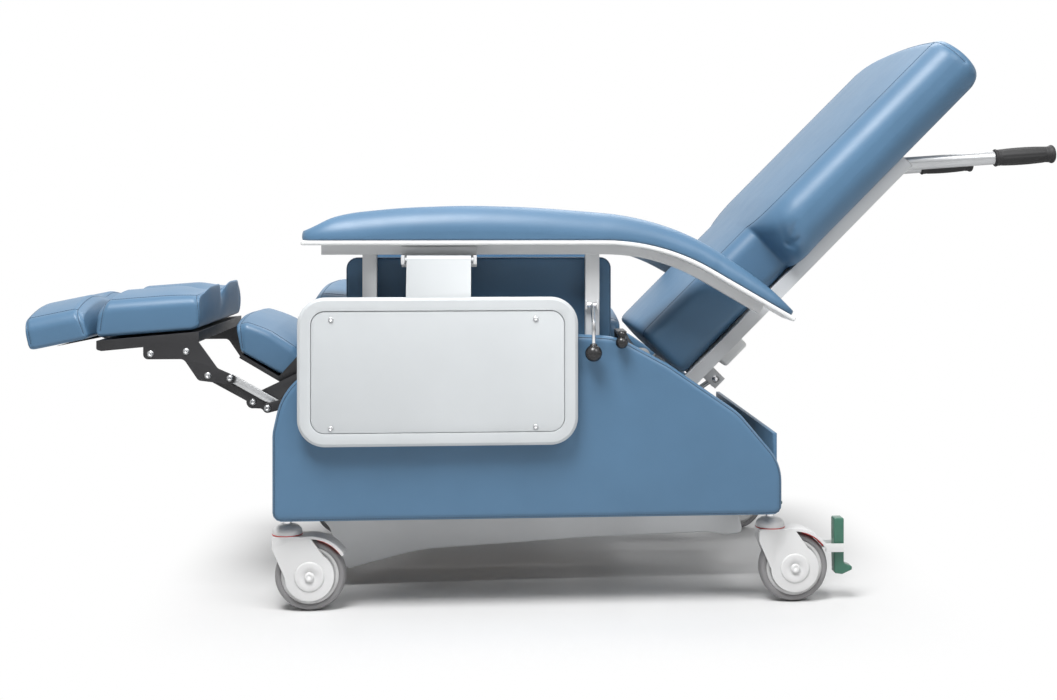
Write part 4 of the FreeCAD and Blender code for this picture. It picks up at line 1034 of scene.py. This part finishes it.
class RECLINER_OT_panels(Operator):
    """Upholstered side panels and inner arm panels"""
    bl_idname = "recliner.panels"
    bl_label = "Upholstered panels"

    def execute(self, context):
        low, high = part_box("left_arm_panel")
        corners = ((low.x, low.z), (high.x, low.z), (high.x, high.z), (low.x, high.z))
        arm_panel = round_outline([(x, z, ARM_PANEL_CORNER) for x, z in corners], step=0.006)
        side_panel = round_outline(SIDE_PANEL)
        for hand, side in SIDES:
            panel_cover(hand + "_panel_cover", side_panel, side * SIDE_PANEL_FACES, edge=0.012, crown=0.0006,
                        body="base", node=hand + "_side_panel")
            panel_cover(hand + "_arm_panel_cover", arm_panel, side * ARM_PANEL_FACES, edge=0.005,
                        crown=0.0003, body=hand + "_arm", node=hand + "_arm_panel")
        return {"FINISHED"}


class RECLINER_OT_frames(Operator):
    """Painted frames, plates, trim and links: the CAD shapes with rounded edges and their finishes"""
    bl_idname = "recliner.frames"
    bl_label = "Frames and links"

    def execute(self, context):
        nodes = ["base_frame", "caster_stems", "arm_guides", "rear_panel", "left_mechanism_plate",
                 "right_mechanism_plate", "seat_deck", "back_frame", "back_panel", "left_push_handle",
                 "right_push_handle", "release_housing", "gas_cylinder", "gas_rod", "knee_links",
                 "main_links", "upper_links", "lower_links", "legrest_frame", "mid_pad_frame",
                 "recline_lever"]
        for hand, _ in SIDES:
            nodes += [hand + word for word in
                      ("_arm_frame", "_arm_trim", "_tray_bracket", "_latch_lever", "_brake_pedal")]
        rounder = {"release_housing": 0.006, "base_frame": 0.0025, "left_arm_trim": 0.0028,
                   "right_arm_trim": 0.0028, "left_brake_pedal": 0.002, "right_brake_pedal": 0.002,
                   "legrest_frame": 0.0015}
        own = {"rear_panel": "vinyl", "left_push_handle": "handle", "right_push_handle": "handle"}
        for node in nodes:
            steps = 3 if node in rounder else 2
            piece = dress_node(node, own.get(node, slot_of(node)), rounder.get(node), steps)
            if node == "legrest_frame":
                self.thin_tongue(piece.data)
        return {"FINISHED"}

    def thin_tongue(self, mesh):
        """The plate under the foot pad drawn up against it: its lower points rise by a fixed step."""
        points = mesh_points(mesh)
        x, y, z = points.T
        lower = (x < TONGUE_REAR) & (np.abs(y) < TONGUE_HALF) & (z < np.interp(x, *TONGUE_LEVELS))
        points[lower, 2] += TONGUE_RISE
        move_points(mesh, points)


class RECLINER_OT_link_bolts(Operator):
    """Bolt heads on the legrest's pivots: domed heads on washers"""
    bl_idname = "recliner.link_bolts"
    bl_label = "Link bolts"

    def execute(self, context):
        for body in sorted({owner for _, _, owner in LINK_BOLTS}):
            seats = [(x, side * reach, z, side) for (x, z), reach, owner in LINK_BOLTS if owner == body
                     for _, side in SIDES]
            bolts = heads(BOLT_HEAD, sizes().bolt, seats)
            place_piece(body + "_bolts", bolts, body, "bolt")
        return {"FINISHED"}


class RECLINER_OT_trays(Operator):
    """Side trays: rimmed mouldings with an inset panel held by four screws"""
    bl_idname = "recliner.trays"
    bl_label = "Side trays"

    def execute(self, context):
        for hand, side in SIDES:
            dress_node(hand + "_tray_frame", "tray_plastic", bevel=0.0035, steps=4)
            dress_node(hand + "_tray_panel", "tray_plastic", bevel=0.0010)
            low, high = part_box(hand + "_tray_panel")
            face = high.y if side > 0 else low.y
            seats = [(x, face, z, side) for x in (low.x + SCREW_FRONT, high.x - SCREW_REAR)
                     for z in (low.z + SCREW_LOW, high.z - SCREW_HIGH)]
            screws = heads(SCREW_HEAD, SCREW_RADIUS, seats)
            place_piece(hand + "_tray_screws", screws, hand + "_tray", "bolt")
        return {"FINISHED"}


class RECLINER_OT_casters(Operator):
    """Casters: moulded forks with domes, hub caps and seals, wheels with rounded treads, brake shoes"""
    bl_idname = "recliner.casters"
    bl_label = "Casters"

    def execute(self, context):
        for name in CASTERS:
            low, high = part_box(name + "_wheel")
            axle = np.array((low + high) / 2)
            stem = axle[:2] - (CASTER_TRAIL, 0)
            radius, half = (high.z - low.z) / 2, (high.y - low.y) / 2
            fork = dress_node(name + "_fork", "caster_plastic", bevel=0.003, steps=4)
            self.dome(fork.data, stem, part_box(name + "_fork")[1].z)
            self.wheel(name, axle, radius, half)
            self.hub_caps(name, axle)
            seal = looped_rings(lathe(SEAL, (*stem, 0), axis="z"))
            place_piece(name + "_seal", seal, name + "_swivel", "brake")
            self.brake_shoe(name, axle, radius)
        return {"FINISHED"}

    def dome(self, mesh, stem, top):
        """The fork's cap rounded to a dome: cut into level rings, each drawn in towards the stem as an
        ellipse. The bore keeps its radius."""
        base = top - DOME_HEIGHT
        shell = bmesh.new()
        shell.from_mesh(mesh)
        for level in base + DOME_HEIGHT * np.sin(np.linspace(0, np.pi / 2, DOME_RINGS + 1))[:-1]:
            bmesh.ops.bisect_plane(shell, geom=shell.verts[:] + shell.edges[:] + shell.faces[:],
                                   plane_co=(0, 0, level), plane_no=(0, 0, 1))
        shell.to_mesh(mesh)
        shell.free()
        points = mesh_points(mesh)
        share = np.clip((points[:, 2] - base) / DOME_HEIGHT, 0, 1)
        away = points[:, :2] - stem
        reach = np.hypot(*away.T)
        drawn = np.maximum(reach * np.sqrt(1 - DOME_FALL * share ** 2), np.minimum(reach, STEM_BORE))
        points[:, :2] = stem + away * column(drawn / np.maximum(reach, 1e-6))
        move_points(mesh, points)

    def wheel(self, name, axle, r, w):
        """A tread whose section is an arc between two shoulders, and a rim with a hollow on each side, both
        turned about the axle."""
        turn = np.linspace(-TREAD_ARC, TREAD_ARC, TREAD_ROWS)
        arc = np.stack([w * np.sin(turn) / math.sin(TREAD_ARC), r - TREAD_CROWN * (1 - np.cos(turn))], -1)
        near, far, edge = ((0, r) + part * (w, -1) for part in (NEAR_SHOULDER, FAR_SHOULDER, RIM_EDGE))
        tread = looped_rings(lathe(np.concatenate([near, arc, far]), axle, count=WHEEL_POINTS))
        place_piece(name + "_tread", tread, name + "_roller", "tyre", replaces=name + "_wheel")
        half_rim = np.concatenate([RIM_HOLLOW * (w, 1), edge])
        whole_rim = np.concatenate([half_rim, half_rim[::-1] * (-1, 1)])
        rim = looped_rings(lathe(whole_rim, axle, count=WHEEL_POINTS))
        place_piece(name + "_rim", rim, name + "_roller", "rim")

    def hub_caps(self, name, axle):
        """Turned caps with an axle nut on both cheeks of the fork."""
        caps = [closed_rings(lathe([(way * (HUB_FACE + a), r) for a, r in HUB_CAP], axle, count=40))
                for way in (-1, 1)]
        place_piece(name + "_hub_caps", merged(caps), name + "_swivel", "caster_plastic")

    def brake_shoe(self, name, axle, r):
        """A box section carried along an arc over the tread, under the hood."""
        angle = column(np.radians(np.linspace(*SHOE_ARC, SHOE_ROWS)))
        reach = r + np.array([SHOE_GAP, SHOE_GAP, SHOE_OUTER, SHOE_OUTER])
        across = SHOE_HALF * np.array([-1, 1, 1, -1])
        shoe = np.stack([reach * np.cos(angle), across + 0 * angle, reach * np.sin(angle)], -1) + axle
        place_piece(name + "_brake_shoe", closed_rings(shoe), name + "_swivel", "brake",
                    smooth=False)


class RECLINER_OT_grips(Operator):
    """Hand grips: fluted rubber sleeves that swell in the middle, with lips at both ends and a hollow end"""
    bl_idname = "recliner.grips"
    bl_label = "Hand grips"

    def execute(self, context):
        t = np.linspace(0, 1, GRIP_ROWS)
        r = self.radii(t)
        stretch = smooth_step(t, *FLUTE_STARTS) * (1 - smooth_step(t, *FLUTE_STOPS))
        ridge = np.abs(np.sin(np.arange(GRIP_POINTS) * np.pi * GRIP_FLUTES / GRIP_POINTS)) * column(stretch)
        draw = np.where(ridge > 0, FLUTE_DEPTH * (1 - ridge), 0)
        for hand, _ in SIDES:
            low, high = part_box(hand + "_hand_grip")
            end = np.array([high.x - GRIP_END_X, (low.y + high.y) / 2, high.z - GRIP_END_Z])
            path = end - GRIP_AXIS * (high.x - low.x - GRIP_SHORTER) * column(1 - t)
            rings = path[:, None] + (tube(path, r, GRIP_POINTS) - path[:, None]) * (1 - draw)[..., None]
            mouth = tube(end - GRIP_AXIS * column(GRIP_MOUTH_DEPTHS), GRIP_MOUTH_RADII, GRIP_POINTS)
            sleeve = closed_rings(np.concatenate([rings, mouth]))
            place_piece(hand + "_grip_sleeve", sleeve, "backrest", "grip_rubber",
                        replaces=hand + "_hand_grip")
        return {"FINISHED"}

    def radii(self, t):
        """The sleeve's radius along its length: a sine swell, a bell-shaped lip at each end, rounded ends."""
        swell = np.sin(np.pi * np.clip((t - SWELL_FROM) / SWELL_RUN, 0, 1)) ** SWELL_POWER
        lips = sum(height * bell(t - place, width) for place, width, height in GRIP_LIPS)
        rounding = GRIP_DRAW * end_inset(t, 1, GRIP_ROUND, GRIP_ROUND) / GRIP_ROUND
        return np.minimum(GRIP_RADIUS + GRIP_SWELL * swell + lips, GRIP_MOST) - rounding


class RECLINER_OT_knobs(Operator):
    """Ball knobs on the latch levers and the two-lobed knob on the recline lever"""
    bl_idname = "recliner.knobs"
    bl_label = "Knobs"

    def execute(self, context):
        for hand, _ in SIDES:
            centre, r = self.seat(hand + "_latch_knob")
            ball = self.ball(r)
            profile = np.concatenate([ball[ball[:, 0] < COLLAR_FROM * r], KNOB_COLLAR * (r, 1)])
            knob = closed_rings(lathe(profile, centre, axis="z", count=40))
            place_piece(hand + "_latch_ball", knob, hand + "_latch", "black_plastic",
                        replaces=hand + "_latch_knob")
        centre, r = self.seat("recline_knob")
        lower, upper = self.ball(r), self.ball(UPPER_LOBE * r, lift=UPPER_LIFT * r)
        waist = KNOB_WAIST * r
        profile = np.concatenate([lower[lower[:, 0] < waist], upper[upper[:, 0] > waist]])
        knob = closed_rings(lathe(profile, centre, axis="z", count=36))
        place_piece("recline_ball", knob, "recline", "black_plastic",
                    replaces="recline_knob")
        return {"FINISHED"}

    def seat(self, node):
        """Centre and radius of the ball at the lower end of a knob's box."""
        low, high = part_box(node)
        r = (high.x - low.x) / 2
        return (low.x + r, (low.y + high.y) / 2, low.z + r), r

    def ball(self, r, lift=0.0):
        """A half circle as a profile from the lower pole to the upper, open by a hair at the poles."""
        a = np.linspace(-np.pi / 2, np.pi / 2, BALL_ROWS)
        return np.stack([lift + r * np.sin(a), np.maximum(r * np.cos(a), POLE_HOLE)], -1)


class RECLINER_OT_stage(Operator):
    """Floor, soft light, white surroundings and the camera at the photograph's place"""
    bl_idname = "recliner.stage"
    bl_label = "Stage"

    def execute(self, context):
        scene = context.scene
        scene.view_settings.view_transform = "Standard"
        mesh = bpy.data.meshes.new("floor")
        corners = [(x * FLOOR_REACH, y * FLOOR_REACH, 0) for x, y in ((-1, -1), (1, -1), (1, 1), (-1, 1))]
        mesh.from_pydata(corners, [], [(0, 1, 2, 3)])
        floor = bpy.data.objects.new("floor", mesh)
        scene.collection.objects.link(floor)
        mesh.materials.append(self.floor_finish())
        self.surroundings(scene)
        for values in LAMPS:
            self.lamp(scene, *values)
        data = bpy.data.cameras.new("photo_camera")
        data.lens = 50
        data.sensor_width = 36
        data.shift_x, data.shift_y = CAMERA_SHIFT
        camera = bpy.data.objects.new("photo_camera", data)
        camera.location = CAMERA_PLACE
        camera.rotation_euler = (math.radians(90), 0, CAMERA_TURN)
        scene.collection.objects.link(camera)
        scene.camera = camera
        return {"FINISHED"}

    def floor_finish(self):
        """A pale floor that keeps the shadow and fades to plain white away from the object: the fade grows
        with the larger of the distances along X and Y. Only the camera and clear pieces see the fade."""
        made = bpy.data.materials.new("studio_floor")
        made.use_nodes = True
        tree = made.node_tree
        shader = tree.nodes["Principled BSDF"]
        shader.inputs["Base Color"].default_value = FLOOR_GREY
        shader.inputs["Roughness"].default_value = 0.55
        shader.inputs["Specular IOR Level"].default_value = 0.2
        apart = tree.nodes.new("ShaderNodeSeparateXYZ")
        link(tree, tree.nodes.new("ShaderNodeTexCoord"), "Object", apart, 0)
        along, across = (math_node(tree, "ABSOLUTE", (apart, axis)) for axis in ("X", "Y"))
        away = math_node(tree, "SMOOTH_MAX", (along, 0), (across, 0))
        away.inputs[2].default_value = FADE_ROUND
        fade = add_node(tree, "ShaderNodeMapRange", From_Min=FADE_START, From_Max=FADE_END)
        fade.interpolation_type = "SMOOTHSTEP"
        link(tree, away, 0, fade, "Value")
        path = tree.nodes.new("ShaderNodeLightPath")
        direct = math_node(tree, "MAXIMUM", (path, "Is Camera Ray"), (path, "Is Transmission Ray"))
        seen = math_node(tree, "MULTIPLY", (fade, "Result"), (direct, 0))
        glow = add_node(tree, "ShaderNodeEmission", Color=WHITE, Strength=1.0)
        mix = tree.nodes.new("ShaderNodeMixShader")
        for place, source in enumerate((seen, shader, glow)):
            link(tree, source, 0, mix, place)
        link(tree, mix, 0, tree.nodes["Material Output"], "Surface")
        return made

    def surroundings(self, scene):
        """A world that shows white to the camera and in reflections, and lights the object softly."""
        world = bpy.data.worlds.new("studio_white")
        scene.world = world
        world.use_nodes = True
        tree = world.node_tree
        tree.nodes.clear()
        path = tree.nodes.new("ShaderNodeLightPath")
        either = math_node(tree, "MAXIMUM", (path, "Is Camera Ray"), (path, "Is Glossy Ray"))
        seen = math_node(tree, "MAXIMUM", (either, 0), (path, "Is Transmission Ray"))
        lit = add_node(tree, "ShaderNodeBackground", Color=WHITE, Strength=WORLD_LIGHT)
        shown = add_node(tree, "ShaderNodeBackground", Color=WHITE, Strength=1.0)
        mix = tree.nodes.new("ShaderNodeMixShader")
        for place, source in enumerate((seen, lit, shown)):
            link(tree, source, 0, mix, place)
        link(tree, mix, 0, tree.nodes.new("ShaderNodeOutputWorld"), "Surface")

    def lamp(self, scene, name, where, target, size, power):
        """A large soft lamp turned to a target."""
        data = bpy.data.lights.new(name, "AREA")
        data.size = size
        data.energy = power
        lamp = bpy.data.objects.new(name, data)
        lamp.location = where
        x, y, z = np.array(target) - np.array(where)
        lamp.rotation_euler = (math.atan2(math.hypot(x, y), -z), 0, math.atan2(y, x) - math.pi / 2)
        scene.collection.objects.link(lamp)


PIECES = (RECLINER_OT_seat, RECLINER_OT_back, RECLINER_OT_leg_pads, RECLINER_OT_arm_pads,
          RECLINER_OT_panels, RECLINER_OT_frames, RECLINER_OT_link_bolts, RECLINER_OT_trays,
          RECLINER_OT_casters, RECLINER_OT_grips, RECLINER_OT_knobs, RECLINER_OT_stage)


class RECLINER_PT_parts(Panel):
    """Lists the recliner's pieces in the sidebar"""
    bl_idname = "RECLINER_PT_parts"
    bl_label = "Clinical recliner"
    bl_space_type = "VIEW_3D"
    bl_region_type = "UI"
    bl_category = "Recliner"

    def draw(self, context):
        for piece in PIECES:
            self.layout.operator(piece.bl_idname)


CLASSES = (ReclinerSizes, ReclinerColours) + PIECES + (RECLINER_PT_parts,)


def register():
    """Add the classes and the scene's settings."""
    for item in CLASSES:
        bpy.utils.register_class(item)
    bpy.types.Scene.recliner_sizes = PointerProperty(type=ReclinerSizes)
    bpy.types.Scene.recliner_colours = PointerProperty(type=ReclinerColours)


def unregister():
    """Take them away again."""
    del bpy.types.Scene.recliner_sizes
    del bpy.types.Scene.recliner_colours
    for item in reversed(CLASSES):
        bpy.utils.unregister_class(item)


def main():
    """Make every piece in order."""
    register()
    for piece in PIECES:
        group, name = piece.bl_idname.split(".")
        getattr(getattr(bpy.ops, group), name)()


if __name__ == "__main__":
    main()
